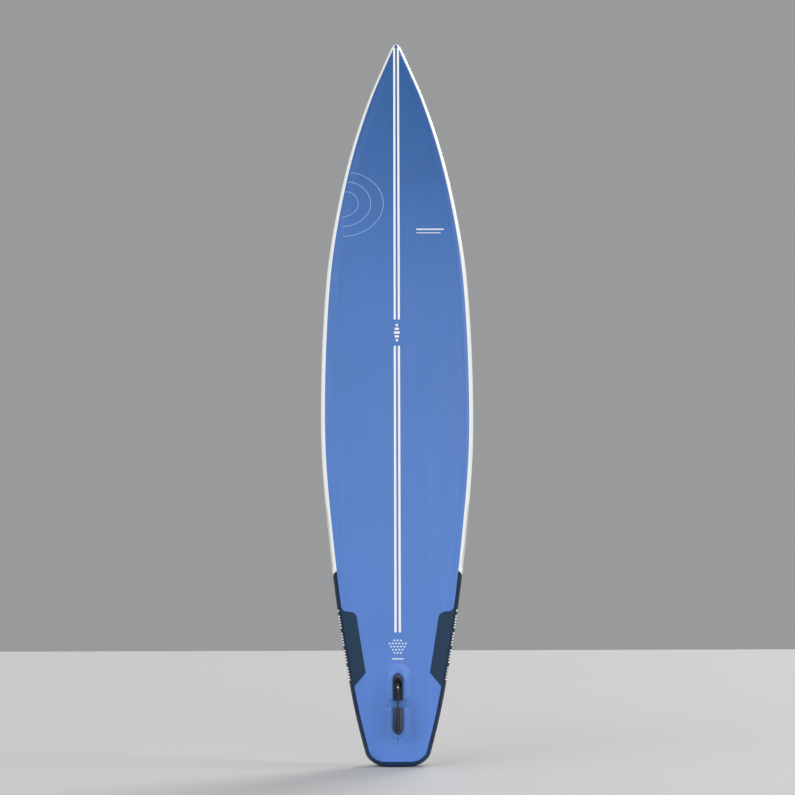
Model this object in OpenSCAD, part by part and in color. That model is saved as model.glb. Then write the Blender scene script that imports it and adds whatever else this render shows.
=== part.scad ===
// Inflatable touring stand up paddleboard, standing on its tail.
// +Z runs from the tail to the nose, the hull (bottom) faces -Y, the deck faces +Y.
// The origin is on the foot at the tail end, midway between hull and deck.

/* [Board] */
// Length from tail end to nose tip
board_len = 3810; // [3400:10:4200]
// Greatest width across the rails
board_w = 762; // [700:2:860]
// Thickness when inflated
board_t = 150; // [130:2:170]
// How far the nose curves up towards the deck
nose_rise = 200; // [90:5:230]
// Thickness of the fused outer skins
skin = 1.5; // [1.2:0.1:2]
// Thickness of the inner layers (cloth and inner sidewall)
lining = 1; // [0.8:0.1:1.4]

/* [Rails and graphics] */
// Width of the rail band that shows beside the hull panel
rail_band = 22; // [16:1:28]
// Width of the rail band across the tail end
tail_band = 26; // [20:1:32]
// Height above the tail where the rail changes from navy to white
rail_split = 884; // [760:5:1000]
// Width of one centre stripe
stripe_w = 11; // [8:0.5:14]
// Clear space between the two centre stripes
stripe_gap = 9.5; // [6:0.5:12]

/* [Fin box and fin] */
// Height of the fin box halves above the hull
plug_h = 24; // [20:1:28]
// Width of the fin box halves
plug_w = 39; // [37:1:48]
// Depth of the fin below the fin box
fin_depth = 186; // [120:2:230]
// Width of the fin box slot
slot_w = 9.6; // [9:0.2:11]

/* [Deck] */
// Thickness of the foam deck pad
pad_t = 5; // [3:0.5:8]
// Height of the carry handle's arch
handle_rise = 46; // [36:1:60]
// Outer radius of the D-rings' bend, to the middle of the wire
ring_r = 18; // [15:0.5:22]
// Radius of the D-ring wire
wire_r = 2.5; // [2:0.1:3]

/* [Valve] */
// Outer radius of the valve flange
flange_r = 30; // [27:0.5:34]
// Radius of the valve neck
neck_r = 20; // [18:0.5:21]

/* [Hidden] */

$fn = 48;
glue = 0.3;                     // glue line under applied pieces
fit = 0.2;                      // working clearance

// ---- shape of the board ----
half_t = board_t / 2;
half_max = board_w / 2;
hull_y = -half_t;
deck_y0 = half_t;
bend = half_t;                  // rails are half rounds of the board's thickness

// Plan shape: [height / board_len, half width / greatest half width]
PLAN = [[0, 0.36], [0.06, 0.521], [0.12, 0.642], [0.2, 0.777], [0.3, 0.901],
        [0.38, 0.977], [0.45, 1], [0.55, 0.986], [0.65, 0.924], [0.74, 0.793],
        [0.82, 0.629], [0.9, 0.409], [0.96, 0.202], [1, 0.058]];
corner_w = 75;                  // how far the tail corners cut in
corner_h = 62;                  // how far up the tail corners reach
foot_hull = 28;                 // rounding of the tail end towards the hull
foot_deck = 5;                  // rounding of the tail end towards the deck
nose_round = 14;                // rounding of the nose tip
nose_narrow = 10;               // how far the nose tip's rounding narrows it
nose_thin = 24;                 // how far the nose tip's rounding thins it
rocker_start = 0.52 * board_len;
rocker_power = 2.4;

function quarter(q) = 1 - sqrt(max(0, 1 - pow(max(0, 1 - q), 2)));
function tangent(i) =
    let (a = max(0, i - 1), b = min(len(PLAN) - 1, i + 1))
    (PLAN[b][1] - PLAN[a][1]) / (PLAN[b][0] - PLAN[a][0]);
function segment(s, i = 0) =
    (i >= len(PLAN) - 2 || s <= PLAN[i + 1][0]) ? i : segment(s, i + 1);
function hermite(u, p, q, mp, mq) =
    (2 * u * u * u - 3 * u * u + 1) * p + (u * u * u - 2 * u * u + u) * mp
    + (3 * u * u - 2 * u * u * u) * q + (u * u * u - u * u) * mq;
function side_w(z) =
    let (s = z / board_len, i = segment(s), d = PLAN[i + 1][0] - PLAN[i][0])
    half_max * hermite((s - PLAN[i][0]) / d, PLAN[i][1], PLAN[i + 1][1],
                       tangent(i) * d, tangent(i + 1) * d);
function half_w(z) = side_w(z) - corner_w * quarter(z / corner_h)
    - nose_narrow * quarter((board_len - z) / nose_round);
// Half thickness on the deck side (s = 1) or the hull side (s = -1)
function half_th(z, s) =
    let (foot = s < 0 ? foot_hull : foot_deck)
    half_t - foot * quarter(z / foot) - nose_thin * quarter((board_len - z) / nose_round);
function rocker(z) =
    nose_rise * pow(max(0, (z - rocker_start) / (board_len - rocker_start)), rocker_power);
function rocker_slope(z) = (rocker(z + 1) - rocker(z - 1)) / 2;

// A point on the skin. e is the distance round the section from the outermost
// edge of the rail (negative towards the hull), in is how far below the surface.
quarter_arc = bend * PI / 2;
function turn_max(w, in) = w >= bend ? 90 : acos((bend - w) / (bend - in));
function e_max(z) =
    let (w = half_w(z))
    w >= bend ? quarter_arc + w - bend : bend * PI / 180 * turn_max(w, 0);
function e_of_x(z, x) =
    let (c = half_w(z) - bend)
    x >= c ? bend * PI / 180 * acos(min(1, (x - c) / bend)) : quarter_arc + c - x;
function skin_pt(z, e, in) =
    let (w = half_w(z), c = w - bend, s = sign(e),
         a = abs(e) / bend * 180 / PI * turn_max(w, in) / turn_max(w, 0))
    abs(e) <= quarter_arc
        ? [c + (bend - in) * cos(a), rocker(z) + s * (half_th(z, s) - in) * sin(a), z]
        : [c - (abs(e) - quarter_arc), rocker(z) + s * (half_th(z, s) - in), z];
function flip_x(p) = [-p[0], p[1], p[2]];

// Heights of the section rings: closer together at the tail and the nose
ring_n = 60;
STATIONS = [for (i = [1 : ring_n - 1]) board_len / 2 * (1 - cos(180 * i / ring_n))];
function rows(z0, z1, clear0 = 2, clear1 = 2) =
    concat([z0], [for (z = STATIONS) if (z > z0 + clear0 && z < z1 - clear1) z], [z1]);

// Seam between the panels and the rails, with round corners at the tail
panel_corner = 50;              // height of the panels' round corners
panel_cut = 36;                 // how far those corners cut in
seam_gap = 0.4;                 // weld line between a panel and a rail
function seam_x(z) = half_w(z) - rail_band
    - panel_cut * quarter((z - tail_band) / panel_corner);
function seam_e(z) = e_of_x(z, seam_x(z));
nose_seam = board_len - nose_round;

// ---- sheets: a solid from rows of outer points and matching inner points ----
module sheet(outer, inner) {
    r = len(outer);
    c = len(outer[0]);
    n = r * c;
    function id(i, j) = i * c + j;
    polyhedron(
        points = concat([for (row = outer) each row], [for (row = inner) each row]),
        faces = concat(
            [for (i = [0 : r - 2], j = [0 : c - 2]) each [
                [id(i, j), id(i + 1, j), id(i + 1, j + 1)],
                [id(i, j), id(i + 1, j + 1), id(i, j + 1)],
                [n + id(i, j), n + id(i + 1, j + 1), n + id(i + 1, j)],
                [n + id(i, j), n + id(i, j + 1), n + id(i + 1, j + 1)]]],
            [for (i = [0 : r - 2]) each [
                [id(i, 0), n + id(i, 0), n + id(i + 1, 0)],
                [id(i, 0), n + id(i + 1, 0), id(i + 1, 0)],
                [id(i, c - 1), n + id(i + 1, c - 1), n + id(i, c - 1)],
                [id(i, c - 1), id(i + 1, c - 1), n + id(i + 1, c - 1)]]],
            [for (j = [0 : c - 2]) each [
                [id(0, j), n + id(0, j + 1), n + id(0, j)],
                [id(0, j), id(0, j + 1), n + id(0, j + 1)],
                [id(r - 1, j), n + id(r - 1, j), n + id(r - 1, j + 1)],
                [id(r - 1, j), n + id(r - 1, j + 1), id(r - 1, j + 1)]]]),
        convexity = 4);
}

// Lofted closed form from rings of points, all with the same count
module loft(rings) {
    r = len(rings);
    c = len(rings[0]);
    polyhedron(
        points = [for (ring = rings) each ring],
        faces = concat(
            [[for (j = [0 : c - 1]) j]],
            [[for (j = [c - 1 : -1 : 0]) (r - 1) * c + j]],
            [for (i = [0 : r - 2], j = [0 : c - 1]) let (k = (j + 1) % c) each [
                [i * c + j, (i + 1) * c + j, (i + 1) * c + k],
                [i * c + j, (i + 1) * c + k, i * c + k]]]),
        convexity = 4);
}

// ---- panels ----
arc_cols = 5;
flat_cols = 2;
function panel_es(z) =
    let (s = seam_e(z), m = e_max(z), k = min(quarter_arc, s + 0.8 * (m - s)), b = max(k, s + 0.1))
    s >= quarter_arc
        ? [for (i = [0 : arc_cols + flat_cols]) s + (m - s) * i / (arc_cols + flat_cols)]
        : concat([for (i = [0 : arc_cols - 1]) s + (b - s) * i / arc_cols],
                 [for (i = [0 : flat_cols]) b + (m - b) * i / flat_cols]);
function panel_row(z, s, in) =
    let (es = panel_es(z), half = [for (e = es) skin_pt(z, s * e, in)], n = len(half))
    concat([for (p = half) flip_x(p)], [for (i = [n - 2 : -1 : 0]) half[i]]);
module panel(s, top, depth, z0, z1) {
    zs = rows(z0, z1);
    outer = [for (z = zs) panel_row(z, s, depth)];
    inner = [for (z = zs) panel_row(z, s, depth + top)];
    if (s < 0) sheet(outer, inner);
    else sheet(inner, outer);
}
module hull_panel() {
    color([0.36, 0.52, 0.8]) panel(-1, skin, 0, tail_band, nose_seam);
}
module deck_panel() {
    color("white") difference() {
        panel(1, skin, 0, tail_band, nose_seam);
        valve_hole();
    }
}

// ---- rails ----
rail_cols = 8;
split_lean = 21;                // how far the colour change leans from its middle to a seam
function rail_pt(z, f, depth) = skin_pt(z, f * (seam_e(z) - seam_gap), depth);
module rail_side(lo, hi) {
    lean = function (z) z == rail_split ? split_lean : 0;
    zs = rows(lo, hi, lean(lo) + 3, lean(hi) + 3);
    pts = function (depth) [for (z = zs) [for (j = [0 : rail_cols])
        let (f = 2 * j / rail_cols - 1) rail_pt(z - lean(z) * f, f, depth)]];
    sheet(pts(0), pts(skin));
}
module rail_port() {
    color("white") rail_side(rail_split, nose_seam);
}
module rail_starboard() {
    color("white") mirror([1, 0, 0]) rail_side(rail_split, nose_seam);
}
module tail_rail_port() {
    color([0.14, 0.21, 0.31]) rail_side(tail_band, rail_split);
}
module tail_rail_starboard() {
    color([0.14, 0.21, 0.31]) mirror([1, 0, 0]) rail_side(tail_band, rail_split);
}

// ---- closed ends ----
ring_pts = 11;                  // points in a quarter of a closed ring
function ring(z, in) =
    let (m = e_max(z), e = function (i) m * (1 - i / ring_pts),
         hull = [for (i = [0 : ring_pts]) skin_pt(z, -e(i), in)],
         half = concat(hull, [for (i = [ring_pts - 1 : -1 : 0]) skin_pt(z, e(i), in)]))
    concat(half, [for (i = [len(half) - 2 : -1 : 1]) flip_x(half[i])]);
// A cup from rings of points: outer and inner rings both run from the closed end to the
// rim. up is true where the rim is above the closed end.
module cup(outer, inner, up) {
    c = len(outer[0]);
    n = len(outer);
    m = len(inner);
    function turned(face, flip) = flip ? [for (k = [len(face) - 1 : -1 : 0]) face[k]] : face;
    function band(a, b, flip) = [for (j = [0 : c - 1]) let (k = (j + 1) % c) each [
        turned([a * c + j, b * c + j, b * c + k], flip),
        turned([a * c + j, b * c + k, a * c + k], flip)]];
    function middle(r) = [0, (r[0][1] + r[(c / 2)][1]) / 2, r[0][2]];
    function fan(hub, a, flip) = [for (j = [0 : c - 1])
        turned([hub, a * c + j, a * c + (j + 1) % c], flip)];
    polyhedron(
        points = concat([for (r = outer) each r], [for (r = inner) each r],
                        [middle(outer[0]), middle(inner[0])]),
        faces = concat(
            fan((n + m) * c, 0, !up),
            fan((n + m) * c + 1, n, up),
            [for (i = [0 : n - 2]) each band(i, i + 1, !up)],
            [for (i = [0 : m - 2]) each band(n + i, n + i + 1, up)],
            band(n - 1, n + m - 1, !up)),
        convexity = 4);
}
module tail_end_rail() {
    zs = [0.5, 1.5, 3, 5, 8, 13, 19];
    color([0.14, 0.21, 0.31])
        cup([for (z = concat([0], zs, [tail_band])) ring(z, 0)],
            [for (z = concat([skin, 3, 5, 8, 13, 19], [tail_band])) ring(z, skin)], true);
}
module nose_cap() {
    drops = [1.5, 4, 8];
    color("white")
        cup([for (d = concat([0], drops, [nose_round])) ring(board_len - d, 0)],
            [for (d = concat(drops, [nose_round])) ring(board_len - d, skin)], false);
}

// ---- inner structure ----
lining_e = 96;                  // reach of the inner sidewall round the section
lining_gap = 1;                 // clear space between the skin and the inner sidewall
lining_margin = 4;              // least distance from the sidewall's edge to the centreline
module inner_rail() {
    cols = 8;
    zs = [for (i = [4 : ring_n - 6]) STATIONS[i]];
    pts = function (in) [for (z = zs) [for (j = [0 : cols])
        skin_pt(z, (2 * j / cols - 1) * min(lining_e, e_max(z) - lining_margin), in)]];
    sheet(pts(skin + lining_gap), pts(skin + lining_gap + lining));
}
module inner_rail_port() {
    color("gainsboro") inner_rail();
}
module inner_rail_starboard() {
    color("gainsboro") mirror([1, 0, 0]) inner_rail();
}
cloth_lo = 90;
cloth_hi = 3420;
module cloth(s) {
    edge = function (z) half_w(z) - bend - 6;
    pts = function (in) [for (z = rows(cloth_lo, cloth_hi))
        [for (k = [-1, 0, 1]) [k * edge(z), rocker(z) + s * (half_t - in), z]]];
    if (s < 0) sheet(pts(skin + glue), pts(skin + glue + lining));
    else sheet(pts(skin + glue + lining), pts(skin + glue));
}
module hull_cloth() {
    color("ivory") cloth(-1);
}
module deck_cloth() {
    color("ivory") difference() {
        cloth(1);
        valve_hole();
    }
}
thread_w = 1.6;
thread_pitch_z = 150;
thread_pitch_x = 72;
module drop_threads() {
    long = board_t - 2 * (skin + glue + lining / 2);
    color("ivory") for (z = [cloth_lo + 60 : thread_pitch_z : cloth_hi - 60]) {
        count = floor((half_w(z) - bend - 20) / thread_pitch_x);
        for (i = [-count : count])
            translate([i * thread_pitch_x - thread_w / 2, rocker(z) - long / 2, z - thread_w / 2])
                cube([thread_w, long, thread_w]);
    }
}

// ---- pieces welded to the hull ----
patch_t = 0.8;
patch_glue = 0.6;               // glue line where a flat patch is bent round the rail
// How far each tail patch reaches in from the seam: [height, width]
PATCH = [[364, 0], [428, 66], [683, 68], [702, 62], [710, 48], [712, 26], [715, 12], [721, 5],
         [732, 1]];
function patch_w(z) = lookup(z, PATCH);
module tail_patch() {
    zs = concat([for (z = [364 : 8 : 428]) z], [for (z = [479 : 51 : 683]) z],
                [690, 696, 702, 706, 710, 711, 712, 713.5, 715, 721, 732]);
    cols = 8;
    pts = function (out) [for (z = zs) let (x0 = seam_x(z) - 1, w = max(1, patch_w(z)))
        [for (j = [0 : cols]) skin_pt(z, -e_of_x(z, x0 - w * (1 - j / cols)), -out)]];
    sheet(pts(patch_glue + patch_t), pts(patch_glue));
}
module tail_patch_port() {
    color([0.2, 0.29, 0.38]) tail_patch();
}
module tail_patch_starboard() {
    color([0.2, 0.29, 0.38]) mirror([1, 0, 0]) tail_patch();
}
stripe_t = 0.4;
stripe_cols = 2;
nose_lift = 1.2;                // how far a stripe stands off where the nose narrows to a ridge
lift_w = 1.1 * bend;            // half width of the board where that starts
low_stripe = [613, 2022];
top_stripe = [2157, 3770];
function stripe_lift(z) =
    glue + nose_lift * min(1, 5 * max(0, (lift_w - half_w(z)) / bend));
module stripe(x, z0, z1) {
    pts = function (out) [for (z = rows(z0, z1)) [for (j = [0 : stripe_cols])
        let (xx = x + stripe_w * (0.5 - j / stripe_cols),
             p = skin_pt(z, -e_of_x(z, abs(xx)), -stripe_lift(z) - out)) [xx, p[1], z]]];
    sheet(pts(0), pts(stripe_t));
}
module centre_stripes() {
    color("white") for (span = [low_stripe, top_stripe], s = [-1, 1])
        stripe(s * (stripe_w + stripe_gap) / 2, span[0], span[1]);
}

// ---- fin box ----
front_z = [302, 424];           // bottom and top of the front half
rear_z = [147, 267];
front_tip = 24;                 // length of each half's pointed end
rear_tip = 28;
flange_lap = 13;                // how far a flange reaches past its half's pointed end
base_t = 2;                     // flange of each half on the hull
flange_w = 78;
flange_tip = [40, 38];          // length of the front and rear flanges' round ends
slot_floor = 4;
slot_end = [22, 16];            // solid part of the front and rear halves past their slots
groove_w = 14;                  // T-groove at the bottom of the slot
groove_h = 6;
pocket_n = 6;                   // pockets down each side of the front half
pocket_pitch = 15;
pocket_h = 11;
pocket_floor = 8;
pocket_wall = 2.4;
// An outline, square at z0, that ends at z1 in a blunt point or, with power 2, in a round
module plug_outline(w, z0, z1, tip, power = 1.7) {
    s = sign(z1 - z0);
    side = [for (t = [0 : 0.125 : 1])
        [w / 2 * pow(1 - pow(t, power), power == 2 ? 0.5 : 1), z1 - s * tip * (1 - t)]];
    polygon(concat([[-w / 2, z0], [w / 2, z0]], side,
                   [for (i = [len(side) - 2 : -1 : 0]) [-side[i][0], side[i][1]]]));
}
// Stands children's XY drawing on the hull, from height a to height b above it
module on_hull(a, b) {
    translate([0, hull_y - a, 0]) rotate([90, 0, 0]) linear_extrude(b - a) children();
}
module slot_cut(z0, z1) {
    on_hull(slot_floor, plug_h + 1)
        translate([-slot_w / 2, z0]) square([slot_w, z1 - z0]);
    on_hull(slot_floor, slot_floor + groove_h)
        translate([-groove_w / 2, z0]) square([groove_w, z1 - z0]);
}
module front_plug() {
    z0 = front_z[0];
    z1 = front_z[1];
    pocket_w = (plug_w - slot_w) / 2 - 3 * pocket_wall;
    color([0.08, 0.08, 0.09]) difference() {
        union() {
            on_hull(glue, base_t) plug_outline(flange_w, z0 + 1, z1 + flange_lap, flange_tip[0], 2);
            on_hull(glue, plug_h) plug_outline(plug_w, z0, z1, front_tip);
        }
        slot_cut(z0 - 1, z1 - slot_end[0]);
        for (s = [-1, 1], k = [0 : pocket_n - 1])
            on_hull(pocket_floor, plug_h + 1)
                translate([s * (plug_w / 2 - pocket_wall - pocket_w / 2) - pocket_w / 2,
                           z0 + 2 * pocket_wall + k * pocket_pitch])
                    square([pocket_w, pocket_h]);
    }
}
module rear_plug() {
    z0 = rear_z[0];
    z1 = rear_z[1];
    color([0.08, 0.08, 0.09]) difference() {
        union() {
            on_hull(glue, base_t) plug_outline(flange_w, z1 - 1, z0 - flange_lap, flange_tip[1], 2);
            on_hull(glue, plug_h) plug_outline(plug_w, z1, z0, rear_tip);
        }
        slot_cut(z0 + slot_end[1], z1 + 1);
    }
}
// Blue cover patches that hold the flanges down, from z0 to z1, open round a half that
// ends at plug_end
cover_w = 112;
cover_end = [470, 103];         // far ends of the front and rear cover patches
cover_tip = [56, 52];           // length of their round ends
module cover_patch(z0, z1, tip, plug_end, plug_tip) {
    s = sign(z1 - z0);
    on_hull(base_t + glue, base_t + glue + 1) difference() {
        plug_outline(cover_w, z0, z1, tip, 2);
        plug_outline(plug_w + 1, z0 - 5 * s, plug_end + s, plug_tip);
    }
}
module front_plug_patch() {
    color([0.38, 0.54, 0.82]) 
        cover_patch(front_z[0], cover_end[0], cover_tip[0], front_z[1], front_tip);
}
module rear_plug_patch() {
    color([0.38, 0.54, 0.82]) 
        cover_patch(rear_z[1] + 4, cover_end[1], cover_tip[1], rear_z[0], rear_tip);
}

// ---- fin ----
base_w = slot_w - 2 * fit;
fin_z = [172, 352];             // the fin's base bar
blade_front = 350;
blade_rear = 152;
blade_y = hull_y - plug_h - 1;  // blade starts just above the box
pin_z = 190;
pin_r = 2;
screw_z = 361;
screw_r = 2;
head_r = 4;
head_h = 2.4;
plate_half = 8;                 // half the length of the plate that the screw pulls up
tongue_h = [12.6, 16.6];        // tongue's lower and upper height above the hull
tongue_end = 380;
tip_front = 138;                // height of the blade's tip at its front edge
tip_sweep = 40;                 // how far the rear edge runs down from base to tip
rear_hollow = 26;               // how far the rear edge hollows upwards between them
through = 60;                   // long enough to cut right through
foil_n = 7;
function lead_z(q) = blade_front - (blade_front - tip_front) * pow(q, 1.5);
function trail_z(q) = blade_rear + rear_hollow * sin(180 * pow(q, 0.8)) - tip_sweep * q;
function foil_t(q) = (base_w - 1) * (1 - 0.6 * q);
function foil(q) =
    let (a = lead_z(q), b = trail_z(q), y = blade_y - fin_depth * q,
         up = [for (i = [foil_n : -1 : 0]) let (c = i / foil_n)
            [foil_t(q) / 2 * pow(4 * c * (1 - c) + 0.02, 0.6), y, a + (b - a) * c]])
    concat(up, [for (i = [foil_n : -1 : 0]) flip_x(up[i])]);
module fin() {
    color([0.07, 0.07, 0.08]) difference() {
        union() {
            loft([for (q = [0, 0.12, 0.25, 0.38, 0.5, 0.62, 0.73, 0.83, 0.91, 0.96, 0.99, 1])
                foil(q)]);
            on_hull(slot_floor + fit, plug_h + 1.5)
                translate([-base_w / 2, fin_z[0]]) square([base_w, fin_z[1] - fin_z[0]]);
            on_hull(tongue_h[0], tongue_h[1])
                translate([-base_w / 2, fin_z[1] - 1]) square([base_w, tongue_end - fin_z[1] + 1]);
        }
        translate([0, hull_y - plug_h, screw_z]) rotate([90, 0, 0])
            cylinder(r = screw_r + fit, h = through, center = true);
        translate([0, hull_y - slot_floor - groove_h / 2, pin_z]) rotate([0, 90, 0])
            cylinder(r = pin_r, h = through, center = true);
    }
}
module fin_pin() {
    color("goldenrod") translate([0, hull_y - slot_floor - groove_h / 2, pin_z])
        rotate([0, 90, 0]) cylinder(r = pin_r, h = groove_w - 2 * fit, center = true);
}
module fin_screw() {
    head = tongue_h[1] + 0.1;
    color("silver") translate([0, hull_y, screw_z]) rotate([90, 0, 0]) difference() {
        union() {
            translate([0, 0, slot_floor + 0.6]) cylinder(r = screw_r, h = head - slot_floor);
            translate([0, 0, head]) cylinder(r = head_r, h = head_h);
        }
        for (a = [0, 90])
            rotate(a) translate([0, 0, head + head_h]) cube([5, 1, 2.2], center = true);
    }
}
module fin_plate() {
    color("silver") difference() {
        on_hull(slot_floor + 2.9, slot_floor + 5.9)
            translate([-groove_w / 2 + 0.5, screw_z - plate_half])
                square([groove_w - 1, 2 * plate_half]);
        translate([0, hull_y, screw_z]) rotate([90, 0, 0])
            cylinder(r = screw_r + 0.05, h = through, center = true);
    }
}

// ---- deck pieces ----
// Places children on the deck: local +Y is outwards, local +Z runs towards the nose
module on_deck(x, z) {
    translate([x, deck_y0 + rocker(z), z]) rotate([-atan(rocker_slope(z)), 0, 0]) children();
}
// A flat plate on the deck drawn in local X and Z, from height a to height b
module plate(a, b) {
    translate([0, b, 0]) rotate([90, 0, 0]) linear_extrude(b - a) children();
}
module rounded(w, h, r) {
    hull() for (x = [-1, 1], z = [-1, 1])
        translate([x * (w / 2 - r), z * (h / 2 - r)]) circle(r = r);
}
pad_z = [560, 2400];
pad_inset = 14;                 // flat deck left bare beside the pad
pad_tail = [60, 60];            // width and length cut from each corner at the pad's tail end
pad_nose = [120, 160];          // the same at its nose end
handle_z = 1830;
handle_gap = [100, 330];        // opening in the pad round the handle
handle_corner = 20;
function pad_half(z) = half_w(z) - bend - pad_inset
    - pad_tail[0] * quarter((z - pad_z[0]) / pad_tail[1])
    - pad_nose[0] * quarter((pad_z[1] - z) / pad_nose[1]);
module deck_pad() {
    zs = concat([for (d = [0, 8, 22, 40]) pad_z[0] + d], rows(pad_z[0] + 62, pad_z[1] - 130),
                [for (d = [90, 50, 20, 0]) pad_z[1] - d]);
    pts = function (h) [for (z = zs) [for (k = [-1 : 0.5 : 1])
        [k * pad_half(z), deck_y0 + rocker(z) + h, z]]];
    color([0.7, 0.72, 0.74]) difference() {
        sheet(pts(glue), pts(glue + pad_t));
        translate([0, deck_y0 + 20, handle_z]) rotate([90, 0, 0])
            linear_extrude(40) rounded(handle_gap[0], handle_gap[1], handle_corner);
    }
}
kick_z = 500;
kick_w = 300;
module kick_pad() {
    color([0.16, 0.22, 0.3]) on_deck(0, kick_z) translate([-kick_w / 2, glue, 0])
        rotate([90, 0, 90]) linear_extrude(kick_w)
            polygon([[0, -40], [8, -40], [20, -28], [25, -18], [26, -10], [24, 0],
                     [18, 14], [12, 24], [8, 32], [5, 40], [0, 40]]);
}

// ---- carry handle ----
strap_w = 38;
strap_t = 2.4;
span = 90;                      // half the arch's length
strap_base = 1.6;               // top of the handle patches
strap_foot = 46;                // length sewn down at each end
grip_reach = 51;                // half the grip's length
grip_pad = 4;                   // thickness of the grip's foam round the strap
handle_patch = [84, 76, 14];    // width, height and corner radius
function arch(z) = handle_rise * pow(cos(90 * z / span), 2);
module handle_patches() {
    color("whitesmoke") for (s = [-1, 1])
        on_deck(0, handle_z + s * 118) plate(glue, strap_base)
            rounded(handle_patch[0], handle_patch[1], handle_patch[2]);
}
module handle_webbing() {
    line = [for (z = [-span : 7.5 : span]) [arch(z), z]];
    color([0.1, 0.1, 0.12]) on_deck(0, handle_z)
        translate([-strap_w / 2, strap_base + glue, 0]) rotate([90, 0, 90])
            linear_extrude(strap_w) polygon(concat([[0, -span - strap_foot]], line,
                [[0, span + strap_foot],
                 [strap_t, span + strap_foot]],
                [for (i = [len(line) - 1 : -1 : 0]) line[i] + [strap_t, 0]],
                [[strap_t, -span - strap_foot]]));
}
module handle_grip() {
    step = grip_reach / 6;
    ends = grip_reach + step;
    low = [for (z = [-grip_reach : step : grip_reach]) [arch(z) - grip_pad, z]];
    high = [for (z = [grip_reach : -step : -grip_reach]) [arch(z) + strap_t + grip_pad, z]];
    slit_low = [for (z = [-ends : step : ends]) [arch(z) - fit, z]];
    slit_high = [for (z = [ends : -step : -ends]) [arch(z) + strap_t + fit, z]];
    color([0.12, 0.13, 0.15]) on_deck(0, handle_z)
        translate([0, strap_base + glue, 0]) rotate([90, 0, 90]) difference() {
            translate([0, 0, -strap_w / 2 - grip_pad]) linear_extrude(strap_w + 2 * grip_pad)
                polygon(concat(low, high));
            translate([0, 0, -strap_w / 2 - fit]) linear_extrude(strap_w + 2 * fit)
                polygon(concat(slit_low, slit_high));
        }
}

// ---- D-rings ----
// Spots on the deck as [x, z]
CARGO = [[-190, 2640], [190, 2640], [-120, 3060], [120, 3060]];
leash_spot = [0, 130];
tow_spot = [0, 3380];
ring_patch_r = 37;
tab_w = 24;
tab_t = 1.8;
bar_h = 7.4;                    // height of the ring's bar above the deck
bar_z = -12;
loop_r = wire_r + 2.4;
module ring_patch(spot) {
    on_deck(spot[0], spot[1]) plate(glue, 1.5)
        translate([0, 2]) circle(r = ring_patch_r);
}
module ring_tab(spot) {
    on_deck(spot[0], spot[1]) difference() {
        union() {
            plate(1.5 + glue, 1.5 + glue + tab_t)
                translate([-tab_w / 2, bar_z]) square([tab_w, 40]);
            translate([0, bar_h, bar_z]) rotate([0, 90, 0])
                cylinder(r = loop_r, h = tab_w, center = true);
            translate([-tab_w / 2, 1.5 + glue, bar_z])
                cube([tab_w, bar_h + loop_r - 1.5 - glue - 1, loop_r]);
        }
        translate([0, bar_h, bar_z]) rotate([0, 90, 0])
            cylinder(r = wire_r + 0.1, h = tab_w + 2, center = true);
    }
}
module d_ring(spot) {
    // The ring hangs plumb from its bar, so the deck's slope is turned back
    color("silver") on_deck(spot[0], spot[1]) translate([0, bar_h, bar_z])
        rotate([atan(rocker_slope(spot[1])), 0, 0]) {
        rotate([0, 90, 0]) cylinder(r = wire_r, h = 2 * ring_r, center = true);
        rotate([90, 0, 0]) rotate([0, 0, 180]) rotate_extrude(angle = 180)
            translate([ring_r, 0]) circle(r = wire_r);
        for (s = [-1, 1]) translate([s * ring_r, 0, 0]) sphere(r = wire_r);
    }
}
module cargo_patches() {
    color("whitesmoke") for (spot = CARGO) ring_patch(spot);
}
module cargo_tabs() {
    color([0.12, 0.12, 0.14]) for (spot = CARGO) ring_tab(spot);
}
module cargo_ring_1() {
    d_ring(CARGO[0]);
}
module cargo_ring_2() {
    d_ring(CARGO[1]);
}
module cargo_ring_3() {
    d_ring(CARGO[2]);
}
module cargo_ring_4() {
    d_ring(CARGO[3]);
}
module leash_patch() {
    color("whitesmoke") ring_patch(leash_spot);
}
module leash_tab() {
    color([0.12, 0.12, 0.14]) ring_tab(leash_spot);
}
module leash_ring() {
    d_ring(leash_spot);
}
module tow_patch() {
    color("whitesmoke") ring_patch(tow_spot);
}
module tow_tab() {
    color([0.12, 0.12, 0.14]) ring_tab(tow_spot);
}
module tow_ring() {
    d_ring(tow_spot);
}

// ---- inflation valve ----
valve_x = 78;
valve_z = 375;
bore_r = 15;
seat_h = -34;
seat_r = 11;
stem_r = 2.5;
hub_h = [-16, -12];             // hub that the stem slides in
hub_r = 5;
nut_h = -12;                    // inner end of the nut
cap_h = 6.5;                    // underside of the cap
press = 6;                      // travel of the poppet
// Turned pieces: local Z is outwards, zero at the deck's surface
module on_valve() {
    translate([valve_x, deck_y0, valve_z]) rotate([-90, 0, 0]) children();
}
module valve_hole() {
    on_valve() translate([0, 0, -30]) cylinder(r = neck_r + 0.6, h = 60);
}
module washer(r0, r1, h0, h1) {
    translate([0, 0, h0]) difference() {
        cylinder(r = r1, h = h1 - h0);
        translate([0, 0, -1]) cylinder(r = r0, h = h1 - h0 + 2);
    }
}
module valve_gasket() {
    color([0.15, 0.15, 0.16]) on_valve() washer(neck_r + 0.3, flange_r - 1, 0.1, 1.4);
}
module valve_body() {
    color([0.2, 0.21, 0.23]) on_valve() {
        washer(bore_r, flange_r, 1.5, 5);
        washer(bore_r, neck_r, seat_h, 2);
        washer(seat_r, bore_r + 1, seat_h, seat_h + 3);
        washer(stem_r + 0.08, hub_r, hub_h[0], hub_h[1]);
        for (a = [90, 210, 330])
            rotate(a) translate([hub_r - 0.4, -1.5, hub_h[0]])
                cube([bore_r - hub_r + 1, 3, hub_h[1] - hub_h[0]]);
    }
}
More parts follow.
